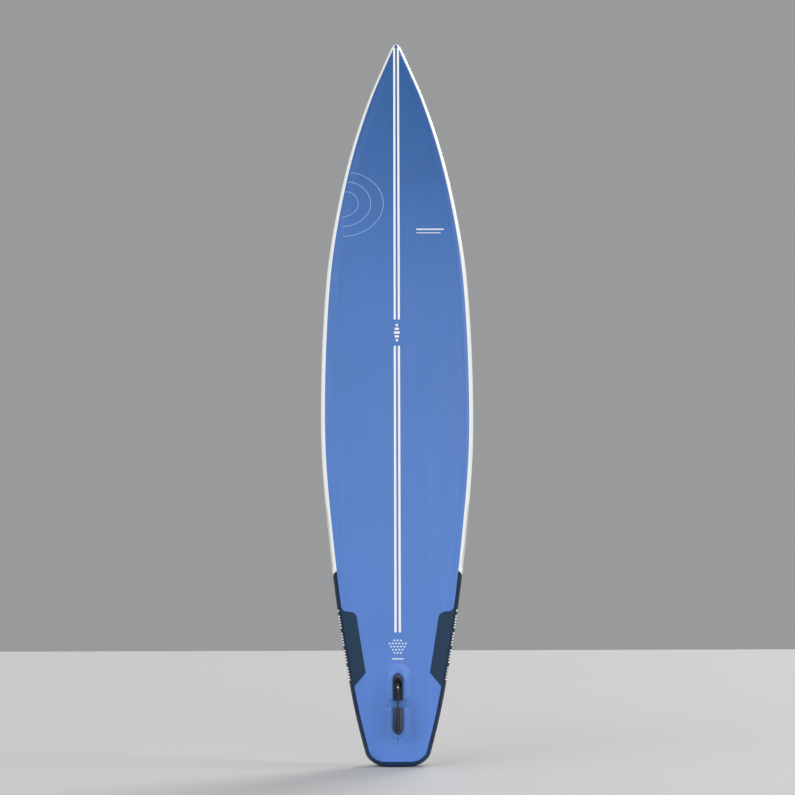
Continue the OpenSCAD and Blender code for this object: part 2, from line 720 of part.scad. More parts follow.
module valve_nut() {
    color([0.2, 0.21, 0.23]) on_valve() difference() {
        washer(neck_r + 0.1, flange_r, nut_h, -skin - glue - lining - glue);
        for (a = [0 : 60 : 300])
            rotate(a) translate([flange_r, 0, -8]) cube([4, 8, 20], center = true);
    }
}
module valve_spring() {
    color("silver") on_valve() 
        washer(stem_r + 0.6, stem_r + 2.2, hub_h[1] + 0.1, -press - 4.2);
}
module valve_poppet() {
    color([0.85, 0.3, 0.15]) on_valve() {
        translate([0, 0, seat_h - 3.2]) cylinder(r = 13.4, h = 3);
        translate([0, 0, seat_h - 1]) cylinder(r = stem_r, h = 31);
        translate([0, 0, -4]) cylinder(r = 6.5, h = 4);
    }
}
module valve_cap_seal() {
    color([0.1, 0.1, 0.1]) on_valve() washer(16.6, 20, 5.1, cap_h - 0.1);
}
module valve_cap() {
    color([0.16, 0.17, 0.19]) on_valve() {
        difference() {
            rotate_extrude() polygon([[0, cap_h], [26.5, cap_h], [27, 8], [26, 11.5],
                                      [23, 13.2], [0, 14]]);
            for (s = [-1, 1])
                translate([s * 13.2, 0, 14]) cube([17, 34, 8], center = true);
        }
        washer(12, bore_r - 0.4, 1, cap_h + 0.5);
    }
}

hull_panel();
deck_panel();
rail_port();
rail_starboard();
tail_rail_port();
tail_rail_starboard();
tail_end_rail();
nose_cap();
inner_rail_port();
inner_rail_starboard();
hull_cloth();
deck_cloth();
drop_threads();
tail_patch_port();
tail_patch_starboard();
centre_stripes();
front_plug_patch();
rear_plug_patch();
front_plug();
rear_plug();
fin();
fin_pin();
fin_screw();
fin_plate();
deck_pad();
kick_pad();
handle_patches();
handle_webbing();
handle_grip();
cargo_patches();
cargo_tabs();
cargo_ring_1();
cargo_ring_2();
cargo_ring_3();
cargo_ring_4();
leash_patch();
leash_tab();
leash_ring();
tow_patch();
tow_tab();
tow_ring();
valve_gasket();
valve_body();
valve_nut();
valve_spring();
valve_poppet();
valve_cap_seal();
valve_cap();
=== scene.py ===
"""Looks of an inflatable touring paddleboard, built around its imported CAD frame.

The board stands on its tail: +Z runs to the nose, the hull faces -Y and the deck +Y.
All lengths are in metres.
"""

import math

import bmesh
import bpy
import numpy as np
from mathutils import Matrix, Vector


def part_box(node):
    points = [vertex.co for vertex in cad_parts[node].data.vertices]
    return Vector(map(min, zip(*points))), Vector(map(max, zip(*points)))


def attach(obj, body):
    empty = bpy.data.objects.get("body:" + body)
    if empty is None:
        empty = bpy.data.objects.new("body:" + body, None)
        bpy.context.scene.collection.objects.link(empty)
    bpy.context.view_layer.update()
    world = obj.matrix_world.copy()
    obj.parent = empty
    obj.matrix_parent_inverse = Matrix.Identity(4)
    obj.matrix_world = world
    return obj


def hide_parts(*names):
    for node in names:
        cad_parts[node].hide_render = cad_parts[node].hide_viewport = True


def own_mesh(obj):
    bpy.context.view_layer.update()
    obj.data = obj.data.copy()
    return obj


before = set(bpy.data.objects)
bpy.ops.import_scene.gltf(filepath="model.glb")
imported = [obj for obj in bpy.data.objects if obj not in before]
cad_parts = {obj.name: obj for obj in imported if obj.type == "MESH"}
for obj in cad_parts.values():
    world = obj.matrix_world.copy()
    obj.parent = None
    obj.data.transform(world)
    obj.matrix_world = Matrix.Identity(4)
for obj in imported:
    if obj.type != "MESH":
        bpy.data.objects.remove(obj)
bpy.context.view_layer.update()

# ---- camera: low and tilted up, so that the tail is nearer than the nose ----
SENSOR = 36.0  # mm
LENS = 52.0755  # mm
CAMERA_GAP = 5.575
CAMERA_X = 0.0024
CAMERA_Z = 0.545
CAMERA_TILT = 12.255  # degrees up
CAMERA_ROLL = -0.17  # degrees

# ---- the board's shape, as in the CAD part ----
LENGTH = 3.81
HALF_MAX = 0.381
HALF_T = 0.075
BEND = HALF_T
NOSE_RISE = 0.20
ROCKER_START = 0.52 * LENGTH
ROCKER_POWER = 2.4
CORNER_W = 0.075
CORNER_H = 0.062
FOOT_HULL = 0.028
FOOT_DECK = 0.005
NOSE_ROUND = 0.014
NOSE_NARROW = 0.010
NOSE_THIN = 0.024
RAIL_BAND = 0.022
TAIL_BAND = 0.026
PANEL_CORNER = 0.050
PANEL_CUT = 0.036
NOSE_SEAM = LENGTH - NOSE_ROUND
RAIL_SPLIT = 0.884
SPLIT_SLANT = 0.021
SKIN = 0.0015
GLUE = 0.0003
PLAN = [(0, 0.36), (0.06, 0.521), (0.12, 0.642), (0.2, 0.777), (0.3, 0.901),
        (0.38, 0.977), (0.45, 1), (0.55, 0.986), (0.65, 0.924), (0.74, 0.793),
        (0.82, 0.629), (0.9, 0.409), (0.96, 0.202), (1, 0.058)]
QUARTER_ARC = BEND * math.pi / 2


def quarter(q):
    """0 at the end of a rounding and 1 at its start, along a quarter circle."""
    return 1 - math.sqrt(max(0.0, 1 - max(0.0, 1 - q) ** 2))


def tangent(i):
    a, b = max(0, i - 1), min(len(PLAN) - 1, i + 1)
    return (PLAN[b][1] - PLAN[a][1]) / (PLAN[b][0] - PLAN[a][0])


def side_w(z):
    """Half width at height z, before the ends are rounded."""
    s = z / LENGTH
    i = 0
    while i < len(PLAN) - 2 and s > PLAN[i + 1][0]:
        i += 1
    d = PLAN[i + 1][0] - PLAN[i][0]
    u = (s - PLAN[i][0]) / d
    p, q = PLAN[i][1], PLAN[i + 1][1]
    mp, mq = tangent(i) * d, tangent(i + 1) * d
    return HALF_MAX * ((2 * u**3 - 3 * u**2 + 1) * p + (u**3 - 2 * u**2 + u) * mp
                       + (3 * u**2 - 2 * u**3) * q + (u**3 - u**2) * mq)


def half_w(z):
    return (side_w(z) - CORNER_W * quarter(z / CORNER_H)
            - NOSE_NARROW * quarter((LENGTH - z) / NOSE_ROUND))


def half_th(z, s):
    """Half thickness on the deck side (s = 1) or the hull side (s = -1)."""
    foot = FOOT_HULL if s < 0 else FOOT_DECK
    return (HALF_T - foot * quarter(z / foot)
            - NOSE_THIN * quarter((LENGTH - z) / NOSE_ROUND))


def rocker(z):
    rise = max(0.0, (z - ROCKER_START) / (LENGTH - ROCKER_START))
    return NOSE_RISE * rise**ROCKER_POWER


def tilt_of(line, z):
    """The angle at z of a line that is given as a function of z."""
    return math.atan((line(z + 0.001) - line(z - 0.001)) / 0.002)


def turn_max(w, lift=0.0):
    return math.pi / 2 if w >= BEND else math.acos((BEND - w) / (BEND + lift))


def e_max(z):
    w = half_w(z)
    return QUARTER_ARC + w - BEND if w >= BEND else BEND * turn_max(w)


def e_of_x(z, x):
    c = half_w(z) - BEND
    return BEND * math.acos(min(1.0, (x - c) / BEND)) if x >= c else QUARTER_ARC + c - x


def skin_pt(z, e, lift, side):
    """A point on the skin. e is the distance round the section from the rail's outermost
    edge, negative towards the hull; side is 1 to port (+X) and -1 to starboard."""
    w = half_w(z)
    c = w - BEND
    s = -1 if e < 0 else 1
    if abs(e) <= QUARTER_ARC:
        a = abs(e) / BEND * turn_max(w, lift) / turn_max(w)
        return (side * (c + (BEND + lift) * math.cos(a)),
                rocker(z) + s * (half_th(z, s) + lift) * math.sin(a), z)
    return (side * (c - (abs(e) - QUARTER_ARC)), rocker(z) + s * (half_th(z, s) + lift), z)


def on_hull(x, z, lift):
    return skin_pt(z, -e_of_x(z, abs(x)), lift, -1 if x < 0 else 1)


def on_deck(x, z, lift):
    return skin_pt(z, e_of_x(z, abs(x)), lift, -1 if x < 0 else 1)


def seam_x(z):
    return half_w(z) - RAIL_BAND - PANEL_CUT * quarter((z - TAIL_BAND) / PANEL_CORNER)


def seam_e(z):
    return e_of_x(z, seam_x(z))


ROW_FINE = 0.0035
FINE_REACH = 0.075


def heights(lo, hi, step=0.012):
    """Row heights from lo to hi, closer together near the tail and the nose."""
    zs, z = [lo], lo
    while z < hi - 1e-6:
        near = z < FINE_REACH or z > LENGTH - FINE_REACH
        z = min(hi, z + (ROW_FINE if near else step))
        zs.append(z)
    if len(zs) > 2 and zs[-1] - zs[-2] < ROW_FINE / 2:
        del zs[-2]
    return zs


# ---- mesh tools ----
def placed(name, data):
    """A new object in the scene, from its mesh, light or camera data."""
    obj = bpy.data.objects.new(name, data)
    bpy.context.scene.collection.objects.link(obj)
    return obj


def make_mesh(name, verts, faces, sharp):
    mesh = bpy.data.meshes.new(name)
    mesh.from_pydata([tuple(v) for v in verts], [], faces)
    mesh.validate()
    obj = placed(name, mesh)
    tidy_normals(obj, sharp)
    return obj


def tidy_normals(obj, sharp=35):
    bm = bmesh.new()
    bm.from_mesh(obj.data)
    bmesh.ops.recalc_face_normals(bm, faces=bm.faces)
    bm.to_mesh(obj.data)
    bm.free()
    obj.data.shade_smooth()
    obj.data.set_sharp_from_angle(angle=math.radians(sharp))


def sheet(name, outer, inner, sharp=35):
    """A closed solid between rows of outer points and matching rows of inner points."""
    r, c = len(outer), len(outer[0])
    n = r * c
    verts = [p for row in outer for p in row] + [p for row in inner for p in row]
    faces = []
    for i in range(r - 1):
        for j in range(c - 1):
            a, b, d, e = i * c + j, (i + 1) * c + j, (i + 1) * c + j + 1, i * c + j + 1
            faces += [(a, b, d, e), (n + a, n + e, n + d, n + b)]
    for i in range(r - 1):
        for j in (0, c - 1):
            a, b = i * c + j, (i + 1) * c + j
            faces.append((a, b, n + b, n + a))
    for j in range(c - 1):
        for i in (0, r - 1):
            a, b = i * c + j, i * c + j + 1
            faces.append((a, b, n + b, n + a))
    return make_mesh(name, verts, faces, sharp)


def band(c, low, high):
    """The faces between two rings of c points, from the rings' numbers."""
    return [(low * c + j, high * c + j, high * c + (j + 1) % c, low * c + (j + 1) % c)
            for j in range(c)]


def loft(name, rings, sharp=35):
    """A closed form through rings of points, each with the same count."""
    c = len(rings[0])
    verts = [p for ring in rings for p in ring]
    faces = [face for i in range(len(rings) - 1) for face in band(c, i, i + 1)]
    faces += [tuple(range(c)), tuple(range(len(verts) - 1, len(verts) - 1 - c, -1))]
    return make_mesh(name, verts, faces, sharp)


def bake(obj):
    """Applies the object's modifiers to its mesh."""
    graph = bpy.context.evaluated_depsgraph_get()
    mesh = bpy.data.meshes.new_from_object(obj.evaluated_get(graph))
    obj.modifiers.clear()
    obj.data = mesh


def cut(obj, tool):
    """Takes a tool's shape out of a piece."""
    mod = obj.modifiers.new("boolean", "BOOLEAN")
    mod.object = tool
    mod.operation = "DIFFERENCE"
    mod.solver = "EXACT"
    bake(obj)
    bpy.data.objects.remove(tool)


def softened(node, width):
    """A copy of a CAD node with its hard edges rounded."""
    obj = placed(node + "_soft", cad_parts[node].data.copy())
    obj.data.materials.clear()
    bm = bmesh.new()
    bm.from_mesh(obj.data)
    bmesh.ops.remove_doubles(bm, verts=bm.verts, dist=1e-6)
    bmesh.ops.dissolve_limit(bm, angle_limit=math.radians(1), verts=bm.verts, edges=bm.edges)
    bm.to_mesh(obj.data)
    bm.free()
    mod = obj.modifiers.new("bevel", "BEVEL")
    mod.width = width
    mod.segments = 2
    mod.limit_method = "ANGLE"
    mod.angle_limit = math.radians(35)
    bake(obj)
    tidy_normals(obj, 50)
    return obj


def join(name, objects):
    """One object from several closed meshes that lie beside each other."""
    bm = bmesh.new()
    for obj in objects:
        bm.from_mesh(obj.data)
        bpy.data.objects.remove(obj)
    mesh = bpy.data.meshes.new(name)
    bm.to_mesh(mesh)
    bm.free()
    obj = placed(name, mesh)
    tidy_normals(obj)
    return obj


def settle(obj, node, material, body="board"):
    """Gives a piece its material and its body, and hides the CAD node it stands for, if any."""
    obj.data.materials.append(MATERIALS[material])
    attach(obj, body)
    if node:
        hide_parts(node)


# ---- materials ----
MATERIALS = {}


class Graph:
    """Short calls for building one material's nodes, kept in MATERIALS under its name."""

    def __init__(self, name):
        material = bpy.data.materials.new(name)
        material.use_nodes = True
        MATERIALS[name] = material
        self.tree = material.node_tree
        self.tree.nodes.clear()
        self.out = self.add("ShaderNodeOutputMaterial")
        self.shader = self.add("ShaderNodeBsdfPrincipled")
        self.link(self.shader, "BSDF", self.out, "Surface")
        self.place = self.add("ShaderNodeTexCoord")

    def add(self, kind, **settings):
        node = self.tree.nodes.new(kind)
        for key, value in settings.items():
            if hasattr(node, key):
                setattr(node, key, value)
            else:
                node.inputs[key].default_value = value
        return node

    def link(self, a, out, b, into):
        self.tree.links.new(a.outputs[out], b.inputs[into])

    def give(self, name, value):
        """Sets one input of the shader."""
        self.shader.inputs[name].default_value = value

    def coords(self, scale):
        node = self.add("ShaderNodeMapping")
        node.inputs["Scale"].default_value = scale
        self.link(self.place, "Object", node, "Vector")
        return node

    def noise(self, scale, stretch=(1, 1, 1), *, detail):
        node = self.add("ShaderNodeTexNoise", Scale=scale, Detail=detail, Roughness=0.55)
        self.link(self.coords(stretch), "Vector", node, "Vector")
        return node

    def ramp(self, source, out, low, high, to_low, to_high):
        node = self.add("ShaderNodeMapRange")
        for key, value in (("From Min", low), ("From Max", high),
                           ("To Min", to_low), ("To Max", to_high)):
            node.inputs[key].default_value = value
        self.link(source, out, node, "Value")
        return node

    def math(self, operation, a, b):
        """One value from two textures."""
        node = self.add("ShaderNodeMath", operation=operation)
        self.link(a, "Fac", node, 0)
        self.link(b, "Fac", node, 1)
        return node

    def along(self, stops):
        """A colour that changes up the board, from stops of (height, colour)."""
        split = self.add("ShaderNodeSeparateXYZ")
        self.link(self.place, "Object", split, "Vector")
        share = self.ramp(split, "Z", 0.0, LENGTH, 0.0, 1.0)
        node = self.add("ShaderNodeValToRGB")
        node.color_ramp.interpolation = "B_SPLINE"
        elements = node.color_ramp.elements
        for height, color in stops[1:-1]:
            elements.new(height / LENGTH).color = (*color, 1)
        for element, (height, color) in ((elements[0], stops[0]), (elements[-1], stops[-1])):
            element.position = height / LENGTH
            element.color = (*color, 1)
        self.link(share, 0, node, "Fac")
        return node

    def shade(self, color, factor, factor_out):
        """The colour, with its value multiplied by a factor."""
        node = self.add("ShaderNodeHueSaturation")
        if isinstance(color, list):
            self.link(self.along(color), "Color", node, "Color")
        else:
            node.inputs["Color"].default_value = (*color, 1)
        self.link(factor, factor_out, node, "Value")
        self.link(node, "Color", self.shader, "Base Color")

    def bump(self, height, out, strength, distance, below=None):
        node = self.add("ShaderNodeBump", Strength=strength, Distance=distance)
        self.link(height, out, node, "Height")
        if below:
            self.link(below, "Normal", node, "Normal")
        self.link(node, "Normal", self.shader, "Normal")
        return node


def pvc(name, color, rough, streaks=0.05, gloss=0.3):
    """Welded PVC skin: lengthwise calender streaks, faint orange peel, a soft satin."""
    g = Graph(name)
    streak = g.noise(1.0, (55, 55, 1.1), detail=4.0)
    cloud = g.noise(2.2, detail=2.0)
    both = g.math("ADD", streak, cloud)
    g.shade(color, g.ramp(both, 0, 0.7, 1.3, 1 - streaks, 1 + streaks), 0)
    smear = g.noise(9.0, (1, 1, 0.35), detail=5.0)
    rough_map = g.ramp(smear, "Fac", 0.3, 0.7, rough - 0.05, rough + 0.07)
    g.link(rough_map, 0, g.shader, "Roughness")
    peel = g.noise(140.0, detail=2.0)
    first = g.bump(peel, "Fac", 0.10, 0.0004)
    grain = g.noise(1400.0, detail=1.0)
    g.bump(grain, "Fac", 0.10, 0.0001, below=first)
    g.give("Specular IOR Level", gloss)


def foam(name, color):
    """Cut EVA foam: fine closed cells and a brushed, matte face."""
    g = Graph(name)
    cells = g.noise(900.0, detail=2.0)
    cloud = g.noise(7.0, detail=3.0)
    both = g.math("ADD", cells, cloud)
    g.shade(color, g.ramp(both, 0, 0.7, 1.3, 0.92, 1.08), 0)
    g.give("Roughness", 0.86)
    g.give("Sheen Weight", 0.25)
    g.give("Sheen Roughness", 0.6)
    brushed = g.noise(260.0, (1, 1, 0.12), detail=3.0)
    first = g.bump(brushed, "Fac", 0.25, 0.0006)
    g.bump(cells, "Fac", 0.35, 0.0003, below=first)


WEAVE_SCALE = 193.75  # gives a weave pitch of about 1.6 mm


def webbing(name, color):
    """Woven polyester strap: crossing ribs with a little sheen."""
    g = Graph(name)
    warp, weft = (g.add("ShaderNodeTexWave", wave_type="BANDS", bands_direction=way,
                        Scale=WEAVE_SCALE) for way in "XZ")
    for wave in (warp, weft):
        g.link(g.place, "Object", wave, "Vector")
    weave = g.math("MULTIPLY", warp, weft)
    g.shade(color, g.ramp(weave, 0, 0, 1, 0.7, 1.35), 0)
    g.give("Roughness", 0.8)
    g.give("Sheen Weight", 0.3)
    g.bump(weave, 0, 0.6, 0.0006)


def neoprene(name, color):
    g = Graph(name)
    knit = g.noise(1100.0, (1, 1, 0.5), detail=2.0)
    fold = g.noise(45.0, detail=3.0)
    g.shade(color, g.ramp(knit, "Fac", 0.3, 0.7, 0.8, 1.25), 0)
    g.give("Roughness", 0.75)
    g.give("Sheen Weight", 0.4)
    first = g.bump(fold, "Fac", 0.3, 0.0012)
    g.bump(knit, "Fac", 0.4, 0.0003, below=first)


def moulded(name, color, rough, grain=0.15, edge_wear_and_glint=1.8, gloss=0.5):
    """Injection moulded plastic, paler on its convex edges: rubbed wear, and with a large edge
    factor a painted highlight.
    """
    g = Graph(name)
    spark = g.noise(1700.0, detail=1.0)
    geometry = g.add("ShaderNodeNewGeometry")
    # paler convex edges: rubbed wear, and with a large factor a painted highlight on the edges
    g.shade(color, g.ramp(geometry, "Pointiness", 0.5, 0.60, 1.0, edge_wear_and_glint), 0)
    handled = g.noise(35.0, detail=4.0)
    rough_map = g.ramp(handled, "Fac", 0.3, 0.7, rough - 0.08, rough + 0.08)
    g.link(rough_map, 0, g.shader, "Roughness")
    g.give("Specular IOR Level", gloss)
    g.bump(spark, "Fac", grain, 0.00015)


def metal(name, color, rough=0.24):
    """Polished marine metal with fine scratches."""
    g = Graph(name)
    scratch = g.noise(500.0, (1, 8, 8), detail=3.0)
    smudge = g.noise(60.0, detail=4.0)
    g.shade(color, g.ramp(smudge, "Fac", 0.3, 0.7, 0.9, 1.05), 0)
    rough_map = g.ramp(scratch, "Fac", 0.3, 0.7, rough - 0.06, rough + 0.1)
    g.link(rough_map, 0, g.shader, "Roughness")
    g.give("Metallic", 1.0)
    g.bump(scratch, "Fac", 0.08, 0.0001)


def cloth(name, color):
    g = Graph(name)
    weave = g.noise(800.0, detail=2.0)
    g.shade(color, g.ramp(weave, "Fac", 0.3, 0.7, 0.85, 1.1), 0)
    g.give("Roughness", 0.9)
    g.bump(weave, "Fac", 0.4, 0.0003)


# Hull blue, darker towards the nose: the darkening is painted shade, where the rockered nose turns
# away from the light.
BLUE_WITH_PAINTED_SHADE = [(0.0, (0.101, 0.236, 0.665)), (0.6, (0.094, 0.220, 0.622)), (1.5, (0.086, 0.206, 0.540)),
        (2.4, (0.062, 0.176, 0.500)), (3.1, (0.034, 0.119, 0.348)), (3.8, (0.024, 0.107, 0.320))]
# Rail navy, lighter on the bottom band and darker up the rails: the difference is painted light and
# shade, not a change of the navy itself.
NAVY_WITH_PAINTED_SHADE = [(0.0, (0.015, 0.042, 0.125)), (0.04, (0.014, 0.038, 0.110)),
        (0.12, (0.008, 0.022, 0.058)), (0.9, (0.007, 0.020, 0.050))]
pvc("hull_blue", BLUE_WITH_PAINTED_SHADE, rough=0.40, streaks=0.055)
pvc("patch_blue", (0.090, 0.222, 0.640), rough=0.27, streaks=0.04, gloss=0.5)
pvc("rail_white", (0.89, 0.90, 0.89), rough=0.38, streaks=0.02)
pvc("deck_white", (0.74, 0.76, 0.76), rough=0.45, streaks=0.02)
pvc("rail_navy", NAVY_WITH_PAINTED_SHADE, rough=0.46, streaks=0.08, gloss=0.15)
pvc("patch_navy", (0.011, 0.037, 0.080), rough=0.54, streaks=0.08, gloss=0.24)
pvc("sidewall_grey", (0.50, 0.51, 0.53), rough=0.6)
cloth("core_cloth", (0.76, 0.74, 0.66))
pvc("stripe_white", (0.88, 0.89, 0.88), rough=0.4, streaks=0.01)
pvc("print_white", (0.74, 0.79, 0.86), rough=0.42, streaks=0.01)
pvc("print_line", (0.34, 0.47, 0.74), rough=0.42, streaks=0.01)
pvc("print_dark", (0.02, 0.035, 0.06), rough=0.45, streaks=0.02)
# The large edge factor paints highlights on the fin box plugs' rib edges.
moulded("box_black", (0.004, 0.0045, 0.006), rough=0.22, edge_wear_and_glint=28.0, gloss=0.25)
moulded("fin_black", (0.013, 0.013, 0.016), rough=0.38, grain=0.08)
metal("pin_brass", (0.72, 0.48, 0.17))
metal("steel", (0.66, 0.67, 0.68), rough=0.2)
foam("pad_grey", (0.30, 0.34, 0.38))
foam("pad_navy", (0.022, 0.042, 0.082))
webbing("webbing_black", (0.018, 0.019, 0.023))
neoprene("grip_black", (0.022, 0.023, 0.027))
cloth("stitch", (0.55, 0.57, 0.60))
pvc("patch_white", (0.72, 0.74, 0.74), rough=0.45, streaks=0.02)
moulded("gasket_black", (0.015, 0.015, 0.015), rough=0.7)
moulded("valve_grey", (0.040, 0.044, 0.050), rough=0.42)
moulded("poppet_orange", (0.72, 0.12, 0.03), rough=0.35)


# ---- skins ----
def panel_columns(z):
    """Distances round the section from the seam to the centreline: a curved part, then flat."""
    s, m = seam_e(z), e_max(z)
    if s >= QUARTER_ARC:
        return [s + (m - s) * i / 18 for i in range(19)]
    bend_end = max(s + 0.0001, min(QUARTER_ARC, s + 0.8 * (m - s)))
    curved = [s + (bend_end - s) * i / 10 for i in range(10)]
    return curved + [bend_end + (m - bend_end) * i / 8 for i in range(9)]


VALVE_HOLE_R = 0.0206


def valve_middle():
    lo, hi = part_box("valve_body")
    return (lo + hi) / 2


def panel(name, side, node, material):
    zs = heights(TAIL_BAND, NOSE_SEAM)

    def row(z, lift):
        es = panel_columns(z)
        left = [skin_pt(z, side * e, lift, -1) for e in es]
        return left + [skin_pt(z, side * e, lift, 1) for e in reversed(es[:-1])]

    obj = sheet(name, [row(z, 0) for z in zs], [row(z, -SKIN) for z in zs])
    if side > 0:
        centre = valve_middle()
        bpy.ops.mesh.primitive_cylinder_add(vertices=48, radius=VALVE_HOLE_R, depth=0.08)
        drill = bpy.context.object
        drill.rotation_euler = (math.pi / 2, 0, 0)
        drill.location = (centre.x, HALF_T, centre.z)
        bpy.context.view_layer.update()
        cut(obj, drill)
        tidy_normals(obj)
    settle(obj, node, material)


def split_shift(z, f, lo, hi):
    """Slants the joint between the white and the navy rail across its width."""
    if lo == RAIL_SPLIT:
        return z - (hi - z) / (hi - lo) * SPLIT_SLANT * f
    if hi == RAIL_SPLIT:
        return z - (z - lo) / (hi - lo) * SPLIT_SLANT * f
    return z


RAIL_COLS = 20
RAIL_LIFT = 0.0008
RAIL_EDGE_LIFT = 0.0001


def rail(name, side, lo, hi, node, material):
    zs = heights(lo, hi)

    def row(z, i, depth):
        out = []
        for j in range(RAIL_COLS + 1):
            f = 2 * j / RAIL_COLS - 1
            zz = split_shift(z, f, lo, hi)
            edge = j in (0, RAIL_COLS) or i in (0, len(zs) - 1)
            lift = (RAIL_EDGE_LIFT if edge else RAIL_LIFT) - depth
            out.append(skin_pt(zz, f * seam_e(zz), lift, side))
        return out

    outer = [row(z, i, 0) for i, z in enumerate(zs)]
    inner = [row(z, i, SKIN + 0.0005) for i, z in enumerate(zs)]
    settle(sheet(name, outer, inner), node, material)


RING_STEPS = 18


def closed_ring(z, lift):
    m = e_max(z)
    deck = [skin_pt(z, m * (1 - i / RING_STEPS), lift, 1) for i in range(RING_STEPS + 1)]
    hull = [skin_pt(z, -m * (1 - i / RING_STEPS), lift, 1) for i in range(RING_STEPS + 1)]
    half = hull + deck[-2::-1]
    return half + [(-x, y, z) for x, y, _ in half[-2:0:-1]]


def shrink(ring, k, z, lift_z):
    """A ring drawn towards its middle, at height lift_z."""
    mid = rocker(z)
    return [(x * k, mid + (y - mid) * k, lift_z) for x, y, _ in ring]


END_SHRINKS = (0.85, 0.6, 0.3, 0.05)


def end_cap(name, zs, flat, node, material):
    """The closed cover over the tail or the nose: flat is the height of its flat end."""
    inwards = 1 if flat == 0 else -1
    outer = [closed_ring(z, 0.0) for z in zs]
    end = closed_ring(flat, 0.0)
    outer += [shrink(end, k, flat, flat) for k in END_SHRINKS]
    inner_end = flat + inwards * SKIN
    inner = [shrink(closed_ring(flat, -SKIN), k, flat, inner_end) for k in reversed(END_SHRINKS)]
    inner += [closed_ring(z, -SKIN) for z in reversed(zs) if abs(z - flat) > SKIN]
    rings = outer + inner
    c = len(rings[0])
    verts = [p for ring in rings for p in ring]
    faces = [face for i in range(len(rings) - 1) if i != len(outer) - 1
             for face in band(c, i, i + 1)]
    faces += band(c, len(rings) - 1, 0)
    for i in (len(outer) - 1, len(outer)):
        faces.append(tuple(i * c + j for j in range(c)))
    settle(make_mesh(name, verts, faces, 50), node, material)


# ---- thin pieces laid on the skin ----
def laid(name, zs, left, right, cols, lift, thick, place=on_hull, edge=0.0004):
    """A thin piece on the hull or deck between two outlines, with softened borders."""
    def row(z, i, low):
        out = []
        for j in range(cols + 1):
            x = left(z) + (right(z) - left(z)) * j / cols
            rim = j in (0, cols) or i in (0, len(zs) - 1)
            h = lift if low else lift + thick - (min(edge, thick * 0.6) if rim else 0)
            out.append(place(x, z, h))
        return out

    outer = [row(z, i, False) for i, z in enumerate(zs)]
    inner = [row(z, i, True) for i, z in enumerate(zs)]
    return sheet(name, outer, inner)


def ribbon(name, path, width, lift, thick, place=on_hull):
    """A thin line on the hull or deck along points (x, z)."""
    outer, inner = [], []
    for i, (x, z) in enumerate(path):
        a, b = path[max(0, i - 1)], path[min(len(path) - 1, i + 1)]
        dx, dz = b[0] - a[0], b[1] - a[1]
        size = math.hypot(dx, dz) or 1.0
        nx, nz = -dz / size * width / 2, dx / size * width / 2
        ends = [(x - nx, z - nz), (x, z), (x + nx, z + nz)]
        outer.append([place(px, pz, lift + thick) for px, pz in ends])
        inner.append([place(px, pz, lift) for px, pz in ends])
    return sheet(name, outer, inner)


STRIPE_W = 0.011
STRIPE_X = 0.01025
STRIPE_T = 0.0004


def stripe_run(name, x, lo, hi):
    """One centre stripe with round ends."""
    r = STRIPE_W / 2
    ends = [r * (1 - math.cos(math.pi / 2 * i / 4)) for i in range(5)]
    zs = [lo + d for d in ends] + heights(lo + r, hi - r)[1:-1] + [hi - d for d in ends[::-1]]

    def half(z):
        d = min(z - lo, hi - z, r)
        return max(0.0004, math.sqrt(max(0.0, r * r - (r - d) ** 2)))

    return laid(name, zs, lambda z: x - half(z), lambda z: x + half(z), 4, GLUE, STRIPE_T)


LOW_STRIPE = (0.613, 2.022)
TOP_STRIPE = (2.157, 3.775)


def stripes():
    runs = [stripe_run(f"run_{i}", side * STRIPE_X, lo, hi)
            for i, (lo, hi) in enumerate((LOW_STRIPE, TOP_STRIPE)) for side in (-1, 1)]
    settle(join("twin_stripes", runs), "centre_stripes", "stripe_white")


PATCH_T = 0.0009
PATCH_LO, PATCH_HI = 0.364, 0.732
PATCH_EDGE = [(PATCH_LO, 0.0), (0.428, 0.066), (0.683, 0.068), (0.692, 0.0665), (0.699, 0.0635),
              (0.705, 0.058), (0.709, 0.050), (0.711, 0.041), (0.7125, 0.026), (0.715, 0.014),
              (0.721, 0.005), (PATCH_HI, 0.0)]


def patch_width(z):
    for (z0, w0), (z1, w1) in zip(PATCH_EDGE, PATCH_EDGE[1:]):
        if z <= z1:
            return max(0.001, w0 + (w1 - w0) * (z - z0) / (z1 - z0))
    return PATCH_EDGE[-1][1]


def tail_patch(side, word):
    zs = sorted({z for z, _ in PATCH_EDGE} | {0.701, 0.707, 0.710, 0.7118}
                | {PATCH_LO + 0.008 * i for i in range(40)})
    obj = laid("tail_patch_" + word + "_skin", zs,
               lambda z: side * (seam_x(z) + 0.0005),
               lambda z: side * (seam_x(z) - patch_width(z)), 12, GLUE, PATCH_T)
    settle(obj, "tail_patch_" + word, "patch_navy")


# ---- printed marks, all plain shapes ----
PRINT_T = 0.00025
PRINT_SINK = 0.0001


def mark(name, material, pieces):
    settle(join(name, pieces), None, material)


def bar(x0, x1, z0, z1):
    steps = max(2, int((z1 - z0) / 0.02) + 1)
    zs = [z0 + (z1 - z0) * i / steps for i in range(steps + 1)]
    cols = max(2, int(abs(x1 - x0) / 0.02) + 1)
    return laid("bar", zs, lambda z: x0, lambda z: x1, cols, GLUE, PRINT_T, on_hull, 0.0001)


def centre_mark():
    """Five short bars in the gap of the stripes, the middle one widest."""
    lo, hi = LOW_STRIPE[1] + 0.018, TOP_STRIPE[0] - 0.018
    step = (hi - lo) / 5
    widths = [0.012, 0.021, 0.030, 0.021, 0.012]
    mark("centre_mark", "stripe_white",
         [bar(-w / 2, w / 2, lo + step * i + 0.004, lo + step * (i + 1) - 0.004)
          for i, w in enumerate(widths)])


